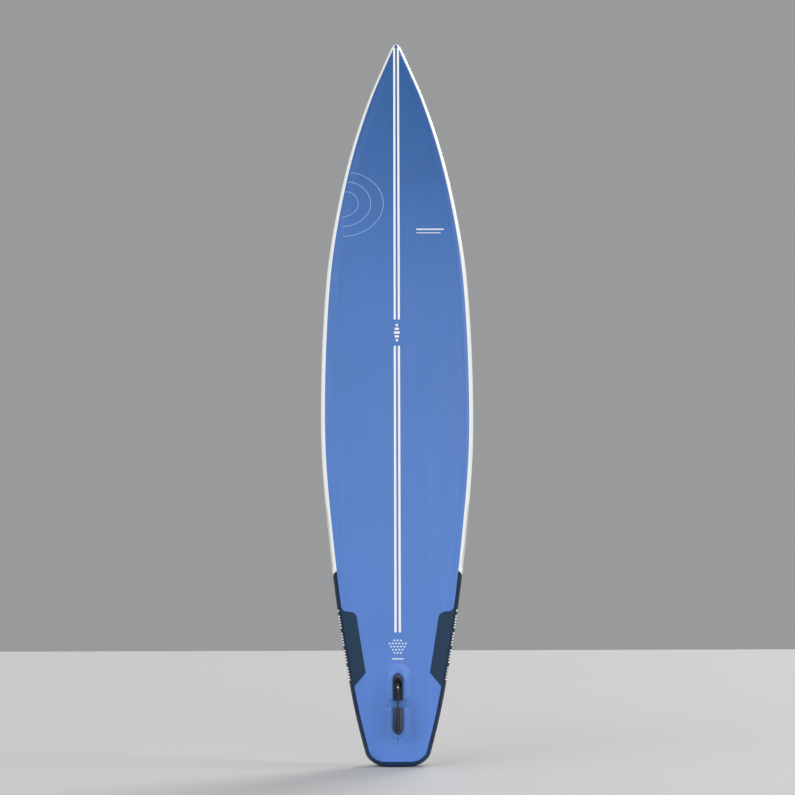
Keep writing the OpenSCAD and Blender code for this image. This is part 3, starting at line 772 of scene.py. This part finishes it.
def ripple_mark():
    """Outlined ripples that run out from under the starboard rail."""
    z_mid = 2.79
    x_mid = -seam_x(z_mid) + 0.002
    angles = [math.radians(-88 + 176 * i / 60) for i in range(61)]
    lines = []
    for rx, rz in ((0.215, 0.185), (0.150, 0.130), (0.085, 0.075)):
        points = [(x_mid + rx * math.cos(a), z_mid + rz * math.sin(a)) for a in angles]
        seen = [(x, z) for x, z in points if x > -seam_x(z) + 0.0015]
        lines.append(ribbon("line", seen, 0.0028, GLUE, PRINT_T))
    mark("ripple_mark", "print_line", lines)


def side_mark():
    """Two thin rules near the port rail."""
    mark("side_mark", "print_white",
         [bar(0.102, 0.242, 2.640, 2.648), bar(0.102, 0.226, 2.622, 2.6265)])


DASH_HALF = 0.0042
DASH_H = 0.0065
DASH_PITCH = 0.0155
DASH_SHIFT = 0.0078
DASH_ROW = 0.0145


def tail_mark():
    """A small block of dashes and a rule above the fin box."""
    pieces = []
    for row in range(5):
        z = 0.574 - row * DASH_ROW
        reach = 0.040 if row in (1, 2) else 0.030
        for k in range(-3, 4):
            x = k * DASH_PITCH + (DASH_SHIFT if row % 2 else 0.0)
            if abs(x) < reach:
                pieces.append(bar(x - DASH_HALF, x + DASH_HALF, z, z + DASH_H))
    pieces.append(bar(-0.028, 0.028, 0.489, 0.4945))
    mark("tail_mark", "print_white", pieces)


TICK_H = 0.0075
TICK_PITCH = 0.0134
TICK_COLS = (-0.036, -0.027, -0.018, -0.008)


def rail_mark(zs, es, side):
    """A thin solid printed on a rail at heights zs, over the distances es round it."""
    outer, inner = ([[skin_pt(z, e, RAIL_LIFT + out, side) for e in es] for z in zs]
                    for out in (PRINT_T, -PRINT_SINK))
    return sheet("rail_mark", outer, inner)


def rail_dashes(side, word):
    """A row of plain ticks along the outer edge of the navy rail."""
    starts = [0.392 + TICK_PITCH * i for i in range(25) if i % 6 != 5]
    mark("rail_ticks_" + word, "stripe_white",
         [rail_mark((z, z + TICK_H), TICK_COLS, side) for z in starts])


def rail_lines(side, word):
    """Two fine lines on the white rail, ahead of the navy part."""
    zs = [0.925 + 0.02 * i for i in range(16)]
    mark("rail_lines_" + word, "print_dark",
         [rail_mark(zs, (e, e + 0.004), side) for e in (-0.030, 0.012)])


# ---- fin box and fin ----
PLUG_W = 0.039
PLUG_H = 0.024
FLANGE_HALF = 0.0375
PATCH_HALF = 0.060
HULL_Y = -HALF_T
PLUG_POINT = 1.7
SHOULDER = 0.017
SHOULDER_STEPS = 7


TIP_STEPS = 12


def tip_outline(half, square_z, tip_z, tip_len, pointed=False, neck=None):
    """Points (x, z) round a strip that starts at square_z and ends at tip_z in a round or in
    the plugs' blunt point. It is square at its start, or widens there from the half width
    neck round a shoulder."""
    s = 1 if tip_z > square_z else -1
    side_end = tip_z - s * tip_len
    left = []
    for i in range(SHOULDER_STEPS):
        a = math.pi / 2 * i / (SHOULDER_STEPS - 1)
        x = half if neck is None else neck + (half - neck) * math.sin(a)
        left.append((-x, square_z + s * SHOULDER * (1 - math.cos(a))))
    last = left[-1][1]
    left += [(-half, last + (side_end - last) * i / 6) for i in range(1, 6)]
    for i in range(TIP_STEPS + 1):
        a = math.pi / 2 * i / TIP_STEPS
        t = i / TIP_STEPS if pointed else math.sin(a)
        x = half * (1 - t**PLUG_POINT) if pointed else half * math.cos(a)
        left.append((-x, side_end + s * tip_len * t))
    return left + [(-x, z) for x, z in reversed(left[:-1])]


def between(a, b, share):
    return [(x + (bx - x) * share, z + (bz - z) * share) for (x, z), (bx, bz) in zip(a, b)]


def cover_patch(name, node, square_z, tip_z, tip_len, plug_tip_z, plug_tip_len):
    """The blue patch glued over a fin box flange, which shows through as a raised step."""
    s = 1 if tip_z > square_z else -1
    flange_z = plug_tip_z + s * 0.013
    plug_line = tip_outline(PLUG_W / 2 + 0.0012, square_z, plug_tip_z + s * 0.002, plug_tip_len,
                            True)
    flange = tip_outline(FLANGE_HALF, square_z, flange_z, 0.040, neck=0.024)
    foot = tip_outline(FLANGE_HALF + 0.0055, square_z, flange_z + s * 0.0055, 0.043, neck=0.026)
    border = tip_outline(PATCH_HALF, square_z, tip_z, tip_len, neck=0.034)
    profile = [(plug_line, 0.0042), (between(plug_line, flange, 0.15), 0.0060),
               (between(plug_line, flange, 0.85), 0.0068), (flange, 0.0062),
               (between(flange, foot, 0.5), 0.0034), (foot, 0.0014),
               (between(foot, border, 0.5), 0.0013), (between(foot, border, 0.90), 0.0015),
               (border, 0.0005)]
    up = [[(x, HULL_Y - h, z) for x, z in line] for line, h in profile]
    low = [[(x, HULL_Y - max(0.0003, h - 0.0010), z) for x, z in line] for line, h in profile]
    settle(sheet(name, up, low, 60), node, "patch_blue")


BASE_W = 0.0092
FIN_DEPTH = 0.186
BLADE_Y = HULL_Y - PLUG_H - 0.001
BLADE_FRONT = 0.350
BLADE_REAR = 0.152
TIP_FRONT = 0.138
TIP_SHARE = 0.035
THICKEST = 0.38
FOIL_STEPS = 26


def foil_ring(q):
    """One section round the blade, at the share q of its depth."""
    lead = BLADE_FRONT - (BLADE_FRONT - TIP_FRONT) * q**1.5
    trail = BLADE_REAR + 0.026 * math.sin(math.pi * q**0.8) - 0.040 * q
    half = (BASE_W - 0.001) * (1 - 0.6 * q) / 2
    tip = max(0.0, (q - 1 + TIP_SHARE) / TIP_SHARE)
    mid = (lead + trail) / 2
    squeeze = math.sqrt(max(0.02, 1 - tip * tip))
    lead, trail = mid + (lead - mid) * squeeze, mid + (trail - mid) * squeeze
    half *= squeeze
    y = BLADE_Y - FIN_DEPTH * q
    up = []
    for i in range(FOIL_STEPS + 1):
        c = (1 - math.cos(math.pi * i / FOIL_STEPS)) / 2
        front = math.sqrt(min(1.0, 1 - (1 - min(1.0, c / THICKEST)) ** 2))
        back = 1.0 if c < THICKEST else 1 - ((c - THICKEST) / (1 - THICKEST)) ** 1.7
        up.append((half * max(0.03, front * back), y, lead + (trail - lead) * c))
    return up + [(-x, yy, zz) for x, yy, zz in reversed(up)]


def fin():
    """The foil blade, on the CAD fin's own base."""
    blade = loft("fin_blade", [foil_ring(i / 46) for i in range(47)], 40)
    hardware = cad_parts["fin"].data.copy()
    bm = bmesh.new()
    bm.from_mesh(hardware)
    bmesh.ops.remove_doubles(bm, verts=bm.verts, dist=1e-6)
    split = bmesh.ops.bisect_plane(bm, geom=bm.verts[:] + bm.edges[:] + bm.faces[:],
                                   plane_co=(0, BLADE_Y + 0.0008, 0), plane_no=(0, -1, 0),
                                   clear_outer=True)
    rim = [g for g in split["geom_cut"] if isinstance(g, bmesh.types.BMEdge)]
    bmesh.ops.contextual_create(bm, geom=rim)
    bm.to_mesh(hardware)
    bm.free()
    base = placed("fin_base", hardware)
    base.data.materials.clear()
    top_lo, top_hi = 0.1722, 0.3518
    cap = loft("fin_foot", [[(x, y, z) for x, z in ((-0.0046, top_lo), (0.0046, top_lo),
                                                   (0.0046, top_hi), (-0.0046, top_hi))]
                            for y in (BLADE_Y + 0.0007, BLADE_Y - 0.0002, BLADE_Y - 0.0006)])
    settle(join("fin_whole", [blade, base, cap]), "fin", "fin_black", body="fin_unit")


# ---- deck pad, kick pad, handle ----
PAD_LO, PAD_HI = 0.560, 2.400
PAD_T = 0.005
PAD_EDGE = 0.0018
GROOVE_W = 0.0046
GROOVE_H = 0.0024
GROOVES = 12
HANDLE_Z = 1.830


def pad_half(z):
    return (half_w(z) - BEND - 0.014 - 0.060 * quarter((z - PAD_LO) / 0.060)
            - 0.120 * quarter((PAD_HI - z) / 0.160))


def groove_columns(z):
    """Columns across the pad as (fraction of its half width, depth below the top)."""
    half = pad_half(z)
    reach = min(1.0, min(z - PAD_LO, PAD_HI - z) / 0.03)
    fade = max(0.0, (reach - 0.5) * 2) ** 0.5 * GROOVE_H
    w = GROOVE_W / half
    cols = [(-1.0, PAD_EDGE), (-1.0 + 0.0022 / half, 0.0)]
    for k in range(-GROOVES + 1, GROOVES):
        u = k / GROOVES
        cols += [(u - w / 2, 0.0), (u - w / 3.4, fade), (u + w / 3.4, fade), (u + w / 2, 0.0)]
    cols += [(1.0 - 0.0022 / half, 0.0), (1.0, PAD_EDGE)]
    return cols


def deck_pad():
    ends = [0.0, 0.002, 0.005, 0.009, 0.014, 0.020, 0.027, 0.035, 0.046, 0.060]
    zs = ([PAD_LO + d for d in ends] + heights(PAD_LO + 0.060, PAD_HI - 0.160, 0.020)[1:-1]
          + [PAD_HI - d for d in (0.160, 0.135, 0.110, 0.088, 0.068, *reversed(ends[:-1]))])
    top, low = [], []
    for i, z in enumerate(zs):
        rim = PAD_EDGE if i in (0, len(zs) - 1) else 0.0
        cols = groove_columns(z)
        top.append([on_deck(u * pad_half(z), z, GLUE + PAD_T - max(d, rim)) for u, d in cols])
        low.append([on_deck(u * pad_half(z), z, GLUE) for u, d in cols])
    obj = sheet("deck_pad_foam", top, low, 30)
    width = len(groove_columns(1.0))
    for i in range(len(zs) - 1):
        for j in range(width - 1):
            if 2 <= j < width - 3 and (j - 2) % 4 == 1:
                obj.data.polygons[(i * (width - 1) + j) * 2].material_index = 1
    cut(obj, handle_opening())
    obj.data.shade_smooth()
    obj.data.set_sharp_from_angle(angle=math.radians(30))
    settle(obj, "deck_pad", "pad_grey")
    obj.data.materials.append(MATERIALS["pad_navy"])


OPENING_W = 0.100
OPENING_H = 0.330
OPENING_R = 0.020


def handle_opening():
    """The round-cornered block that the deck pad is cut out by, round the handle."""
    ring = []
    for cx, cz, a0 in ((1, 1, 0), (-1, 1, 90), (-1, -1, 180), (1, -1, 270)):
        for i in range(9):
            a = math.radians(a0 + 90 * i / 8)
            ring.append((cx * (OPENING_W / 2 - OPENING_R) + OPENING_R * math.cos(a),
                         HANDLE_Z + cz * (OPENING_H / 2 - OPENING_R) + OPENING_R * math.sin(a)))
    return loft("opening", [[(x, y, z) for x, z in ring] for y in (HALF_T - 0.01, HALF_T + 0.03)])


KICK_Z = 0.500
KICK_HALF = 0.150
KICK_FADE = 0.030
KICK_END = 0.35
KICK_PROFILE = [(0.0, -0.040), (0.006, -0.040), (0.010, -0.0375), (0.020, -0.028),
                (0.0235, -0.022), (0.0252, -0.016), (0.0256, -0.009), (0.0245, -0.001),
                (0.0215, 0.007), (0.018, 0.014), (0.012, 0.024), (0.008, 0.032),
                (0.0055, 0.038), (0.004, 0.040), (0.0, 0.040)]


def kick_pad():
    """The foam stop across the tail, lower and narrower at its two ends, with grooves."""
    rings = []
    count = 60
    for i in range(count + 1):
        x = -KICK_HALF + 2 * KICK_HALF * i / count
        near = min(1.0, (KICK_HALF - abs(x)) / KICK_FADE)
        high = KICK_END + (1 - KICK_END) * math.sqrt(1 - (1 - near) ** 2)
        notch = 0.0016 if i % 4 == 2 and near >= 1 else 0.0
        ring = []
        for y, z in KICK_PROFILE:
            top = max(0.0, y * high - (notch if y > 0.01 else 0.0))
            ring.append((x, HALF_T + GLUE + top, KICK_Z + z * (0.8 + 0.2 * near)))
        rings.append(ring)
    obj = loft("kick_pad_foam", rings, 40)
    settle(obj, "kick_pad", "pad_navy")


STRAP_W = 0.038
STRAP_T = 0.0024
SPAN = 0.090
SEWN = 0.046
HANDLE_RISE = 0.046
STRAP_BASE = 0.0016 + GLUE
STRAP_MID = HALF_T + STRAP_BASE + STRAP_T / 2


def arch(z):
    return HANDLE_RISE * math.cos(math.pi / 2 * z / SPAN) ** 2


def strap_ring(y, z, half_width, half_thick, tilt, count=5):
    """A flat section with rounded sides, turned to follow the strap's slope."""
    ring = []
    for cx, a0 in ((1, -90), (-1, 90)):
        for i in range(count + 1):
            a = math.radians(a0 + 180 * i / count)
            px = cx * (half_width - half_thick) + half_thick * math.cos(a)
            py = half_thick * math.sin(a)
            ring.append((px, y + py * math.cos(tilt), z - py * math.sin(tilt)))
    return ring


def handle_webbing():
    """The strap: sewn down at both ends, arched between them."""
    sewn = [SEWN * i / 10 for i in range(11)]
    zs = ([-SPAN - SEWN + z for z in sewn] + [-SPAN + 2 * SPAN * i / 60 for i in range(1, 60)]
          + [SPAN + z for z in sewn])
    rings = []
    for z in zs:
        lift, tilt = (arch(z), tilt_of(arch, z)) if abs(z) < SPAN else (0, 0)
        rings.append(strap_ring(STRAP_MID + lift, HANDLE_Z + z, STRAP_W / 2, STRAP_T / 2, tilt))
    settle(loft("handle_strap", rings, 50), "handle_webbing", "webbing_black")


def handle_stitches():
    """Box and cross stitching where the strap is sewn to its patches."""
    pieces = []
    top = STRAP_BASE + STRAP_T - 0.00005
    for end in (-1, 1):
        z0, z1 = HANDLE_Z + end * 0.098, HANDLE_Z + end * 0.130
        corners = [(-0.014, z0), (0.014, z0), (0.014, z1), (-0.014, z1), (-0.014, z0)]
        lines = list(zip(corners, corners[1:]))
        lines += [(corners[0], corners[2]), (corners[1], corners[3])]
        for a, b in lines:
            long = math.hypot(b[0] - a[0], b[1] - a[1])
            count = int(long / 0.0042)
            for i in range(count):
                f0, f1 = (i + 0.12) / count, (i + 0.85) / count
                p = [(a[0] + (b[0] - a[0]) * f, a[1] + (b[1] - a[1]) * f) for f in (f0, f1)]
                pieces.append(ribbon("stitch", p, 0.0009, top, 0.0005, on_deck))
    settle(join("handle_stitches", pieces), None, "stitch")


CLOTH_PRESSURE = 4.0
CLOTH_FRAMES = 20


def inflate(obj, voxel, cap):
    """Swells a closed fabric piece with a short cloth run, and keeps it within cap of its
    form."""
    mod = obj.modifiers.new("remesh", "REMESH")
    mod.mode = "VOXEL"
    mod.voxel_size = voxel
    bake(obj)
    start = np.array([v.co[:] for v in obj.data.vertices])
    cloth_mod = obj.modifiers.new("cloth", "CLOTH")
    cloth_mod.settings.use_pressure = True
    cloth_mod.settings.uniform_pressure_force = CLOTH_PRESSURE
    cloth_mod.settings.effector_weights.gravity = 0
    cloth_mod.settings.quality = 6
    scene = bpy.context.scene
    for number in range(1, CLOTH_FRAMES + 1):
        scene.frame_set(number)
    bake(obj)
    scene.frame_set(1)
    now = np.array([v.co[:] for v in obj.data.vertices])
    move = now - start
    far = np.linalg.norm(move, axis=1, keepdims=True)
    now = start + move * np.minimum(1.0, cap / np.maximum(far, 1e-9))
    for vert, place in zip(obj.data.vertices, now):
        vert.co = place


GRIP_REACH = 0.049
GRIP_HALF = 0.0215
SEAM_X = 0.0212


def handle_grip():
    """The padded neoprene sleeve over the strap, with a sewn seam down each side."""
    rings = []
    for i in range(35):
        z = -GRIP_REACH + 2 * GRIP_REACH * i / 34
        close = math.sqrt(max(0.0, 1 - max(0.0, (abs(z) / GRIP_REACH - 0.9) / 0.1) ** 2))
        rings.append(strap_ring(STRAP_MID + arch(z), HANDLE_Z + z, GRIP_HALF,
                                0.0030 + 0.0019 * close, tilt_of(arch, z), 7))
    obj = loft("handle_sleeve", rings, 60)
    inflate(obj, 0.0025, 0.0012)
    smooth = obj.modifiers.new("smooth", "SUBSURF")
    smooth.levels = 1
    bake(obj)
    tidy_normals(obj, 60)
    settle(obj, "handle_grip", "grip_black")
    seams = []
    for side in (-1, 1):
        line = []
        for i in range(31):
            z = -GRIP_REACH + 2 * GRIP_REACH * i / 30
            y = STRAP_MID + arch(z)
            t = tilt_of(arch, z)
            line.append([(side * (SEAM_X + 0.0013 * math.cos(a)),
                          y + 0.0011 * math.sin(a) * math.cos(t),
                          HANDLE_Z + z - 0.0011 * math.sin(a) * math.sin(t))
                         for a in (math.pi / 3 * k for k in range(6))])
        seams.append(loft("seam", line, 60))
    settle(join("handle_seams", seams), None, "webbing_black")


def handle_patches():
    w, h, r = 0.084, 0.076, 0.014
    rounding = [r * (1 - math.cos(math.pi / 2 * i / 6)) for i in range(7)]
    pieces = []
    for end in (-1, 1):
        z_mid = HANDLE_Z + end * 0.118
        zs = ([z_mid - h / 2 + d for d in rounding]
              + [z_mid + h / 2 - d for d in reversed(rounding)])

        def half(z, z_mid=z_mid):
            d = min(r, h / 2 - abs(z - z_mid))
            return w / 2 - r + math.sqrt(max(0.0, r * r - (r - d) ** 2))

        pieces.append(laid("patch", zs, lambda z: -half(z), lambda z: half(z), 8, GLUE, 0.0013,
                           on_deck, 0.0006))
    settle(join("handle_base_patches", pieces), "handle_patches", "patch_white")


# ---- D-rings ----
RINGS = [  # name, CAD nodes of its patches and tabs, places (x, z)
    ("cargo", "cargo_patches", "cargo_tabs",
     [(-0.190, 2.640), (0.190, 2.640), (-0.120, 3.060), (0.120, 3.060)]),
    ("leash", "leash_patch", "leash_tab", [(0.0, 0.130)]),
    ("tow", "tow_patch", "tow_tab", [(0.0, 3.380)]),
]
RING_PATCH_R = 0.037
TAB_W = 0.024
BAR = (0.0074, -0.012)  # where a ring's bar lies in its spot: out of the deck, and up


def deck_local(spot, x, y, z):
    """A point given in a spot's own axes: y out of the deck, z towards the nose."""
    a = tilt_of(rocker, spot[1])
    return (spot[0] + x, HALF_T + rocker(spot[1]) + y * math.cos(a) + z * math.sin(a),
            spot[1] - y * math.sin(a) + z * math.cos(a))


def round_patch(spot):
    """A round reinforcing patch with a rolled edge."""
    rings = []
    heights_at = [(0.02, 0.0016), (0.5, 0.0016), (0.86, 0.0015), (0.95, 0.0014),
                  (0.985, 0.0011), (1.0, 0.0007), (1.0, 0.0003), (0.5, 0.0003), (0.02, 0.0003)]
    for k, y in heights_at:
        rings.append([deck_local(spot, k * RING_PATCH_R * math.cos(2 * math.pi * i / 64),
                                 y, 0.002 + k * RING_PATCH_R * math.sin(2 * math.pi * i / 64))
                      for i in range(64)])
    return loft("round_patch", rings, 50)


def ring_tab(spot):
    """A folded strap that goes round the ring's bar."""
    loop, half = 0.0040, 0.0009
    path = [(0.0030, 0.028), (0.0031, 0.020), (0.0036, 0.010), (0.0052, 0.000),
            (0.0082, -0.0072)]
    for i in range(13):
        a = math.radians(60 - 240 * i / 12)
        path.append((BAR[0] + loop * math.sin(a), BAR[1] + loop * math.cos(a)))
    path = [p for p in path if p[0] > 0.0026]
    path += [(0.0028, -0.0086)]
    rings = []
    for i, (y, z) in enumerate(path):
        (y0, z0), (y1, z1) = path[max(0, i - 1)], path[min(len(path) - 1, i + 1)]
        size = math.hypot(y1 - y0, z1 - z0) or 1.0
        ny, nz = -(z1 - z0) / size * half, (y1 - y0) / size * half
        w = TAB_W / 2
        rings.append([deck_local(spot, x, y + s * ny, z + s * nz)
                      for x, s in ((-w, -1), (-w * 0.97, -1.05), (w * 0.97, -1.05), (w, -1),
                                   (w, 1), (w * 0.97, 1.05), (-w * 0.97, 1.05), (-w, 1))])
    return loft("tab", rings, 60)


def tab_stitches(spot):
    pieces = []
    for z in (0.004, 0.022):
        for k in range(-4, 5):
            x = k * 0.0025
            lift = 0.0052 if z < 0.01 else 0.0042
            ring = [[deck_local(spot, x + dx, lift - 0.0012 + h, z + dz)
                     for dx, dz in ((-0.0008, -0.0004), (0.0008, -0.0004), (0.0008, 0.0004),
                                    (-0.0008, 0.0004))] for h in (0.0, 0.0012)]
            pieces.append(loft("stitch", ring))
    return pieces


def d_rings():
    for word, patch_node, tab_node, spots in RINGS:
        settle(join(word + "_round_patches", [round_patch(s) for s in spots]), patch_node,
               "patch_white")
        settle(join(word + "_strap_tabs", [ring_tab(s) for s in spots]), tab_node,
               "webbing_black")
        settle(join(word + "_tab_stitches", [p for s in spots for p in tab_stitches(s)]), None,
               "stitch")


# ---- valve ----
def valve_spring():
    """The wire spring between the valve's hub and its button, drawn at rest."""
    x, _, z = valve_middle()
    y0, y1 = HALF_T - 0.0117, HALF_T - 0.0042
    rings = []
    turns, steps, coil, wire = 4.5, 20, 0.0040, 0.00035
    total = int(turns * steps)
    for i in range(total + 1):
        a = 2 * math.pi * i / steps
        centre = Vector((x + coil * math.cos(a), y0 + (y1 - y0) * i / total,
                         z + coil * math.sin(a)))
        out = Vector((math.cos(a), 0, math.sin(a)))
        up = Vector((0, 1, 0))
        rings.append([tuple(centre + wire * (out * math.cos(b) + up * math.sin(b)))
                      for b in (2 * math.pi * k / 8 for k in range(8))])
    obj = loft("valve_coil", rings, 60)
    settle(obj, "valve_spring", "steel")
    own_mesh(obj)


HARD = {  # node: (edge rounding, material, body)
    "front_plug": (0.0006, "box_black", "board"),
    "rear_plug": (0.0010, "box_black", "board"),
    "fin_screw": (0.0003, "steel", "fin_screw"),
    "fin_plate": (0.0003, "steel", "fin_unit"),
    "valve_body": (0.0004, "valve_grey", "board"),
    "valve_cap": (0.0008, "valve_grey", "valve_cap"),
}
KEPT = {  # CAD nodes whose shape is right as it is
    "inner_rail_port": "sidewall_grey", "inner_rail_starboard": "sidewall_grey",
    "hull_cloth": "core_cloth", "deck_cloth": "core_cloth", "drop_threads": "core_cloth",
    "fin_pin": "pin_brass", "valve_gasket": "gasket_black", "valve_nut": "valve_grey",
    "valve_poppet": "poppet_orange", "valve_cap_seal": "gasket_black",
    "cargo_ring_1": "steel", "cargo_ring_2": "steel", "cargo_ring_3": "steel",
    "cargo_ring_4": "steel", "leash_ring": "steel", "tow_ring": "steel",
}


def hard_pieces():
    for node, (width, material, body) in HARD.items():
        settle(softened(node, width), node, material, body=body)
    for node, material in KEPT.items():
        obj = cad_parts[node]
        if not obj.material_slots:
            obj.data.materials.append(None)
        for material_slot in obj.material_slots:
            material_slot.material = MATERIALS[material]


# ---- stage ----
def stage():
    bpy.ops.mesh.primitive_plane_add(size=400)
    floor = bpy.context.object
    floor.name = "floor"
    g = Graph("floor_pale")
    cloud = g.noise(0.8, detail=4.0)
    g.shade((0.63, 0.63, 0.62), g.ramp(cloud, "Fac", 0.3, 0.7, 0.99, 1.01), 0)
    g.give("Roughness", 0.75)
    floor.data.materials.append(MATERIALS["floor_pale"])

    world = bpy.data.worlds.new("studio")
    bpy.context.scene.world = world
    world.use_nodes = True
    background = world.node_tree.nodes["Background"]
    background.inputs["Color"].default_value = (0.40, 0.405, 0.41, 1)
    background.inputs["Strength"].default_value = 0.80
    bpy.context.scene.view_settings.view_transform = "Standard"


def sun(name, place, strength, spread):
    """A broad even light from one side, for the board and the whole floor alike."""
    obj = placed(name, bpy.data.lights.new(name, "SUN"))
    obj.data.energy = strength
    obj.data.angle = math.radians(spread)
    obj.location = place
    obj.rotation_euler = (Vector((0, 0, 1)) - obj.location).to_track_quat("-Z", "Y").to_euler()


def lights():
    sun("key", (-3.4, -4.6, 4.2), 1.04, 50)
    sun("low_front", (1.8, -6.0, 1.8), 0.94, 40)
    sun("back", (3.0, 5.0, 6.0), 1.2, 30)
    sun("starboard", (-6.0, -1.0, 3.0), 0.45, 30)
    sun("port", (6.0, -1.0, 3.0), 1.05, 30)


def camera():
    obj = placed("camera", bpy.data.cameras.new("camera"))
    obj.data.sensor_width = SENSOR
    obj.data.lens = LENS
    obj.location = (CAMERA_X, HULL_Y - CAMERA_GAP, CAMERA_Z)
    pitch = Matrix.Rotation(math.radians(90 + CAMERA_TILT), 4, "X")
    roll = Matrix.Rotation(math.radians(CAMERA_ROLL), 4, "Z")
    obj.rotation_euler = (pitch @ roll).to_euler()
    bpy.context.scene.camera = obj


camera()
panel("hull_skin", -1, "hull_panel", "hull_blue")
panel("deck_skin", 1, "deck_panel", "deck_white")
for side, word in ((1, "port"), (-1, "starboard")):
    rail("white_rail_" + word, side, RAIL_SPLIT, NOSE_SEAM, "rail_" + word, "rail_white")
    rail("navy_rail_" + word, side, TAIL_BAND, RAIL_SPLIT, "tail_rail_" + word, "rail_navy")
    tail_patch(side, word)
    rail_dashes(side, word)
    rail_lines(side, word)
end_cap("tail_cap", [TAIL_BAND, 0.022, 0.018, 0.014, 0.010, 0.007, 0.0045, 0.0025, 0.001, 0.0],
        0.0, "tail_end_rail", "rail_navy")
end_cap("nose_tip", [LENGTH - drop for drop in (NOSE_ROUND, 0.011, 0.008, 0.005, 0.0025, 0.001, 0)],
        LENGTH, "nose_cap", "rail_white")
stripes()
centre_mark()
ripple_mark()
side_mark()
tail_mark()
cover_patch("front_cover", "front_plug_patch", square_z=0.3015, tip_z=0.474, tip_len=0.060,
            plug_tip_z=0.424, plug_tip_len=0.024)
cover_patch("rear_cover", "rear_plug_patch", square_z=0.2715, tip_z=0.103, tip_len=0.052,
            plug_tip_z=0.147, plug_tip_len=0.028)
fin()
deck_pad()
kick_pad()
handle_patches()
handle_webbing()
handle_stitches()
handle_grip()
d_rings()
valve_spring()
hard_pieces()
stage()
lights()
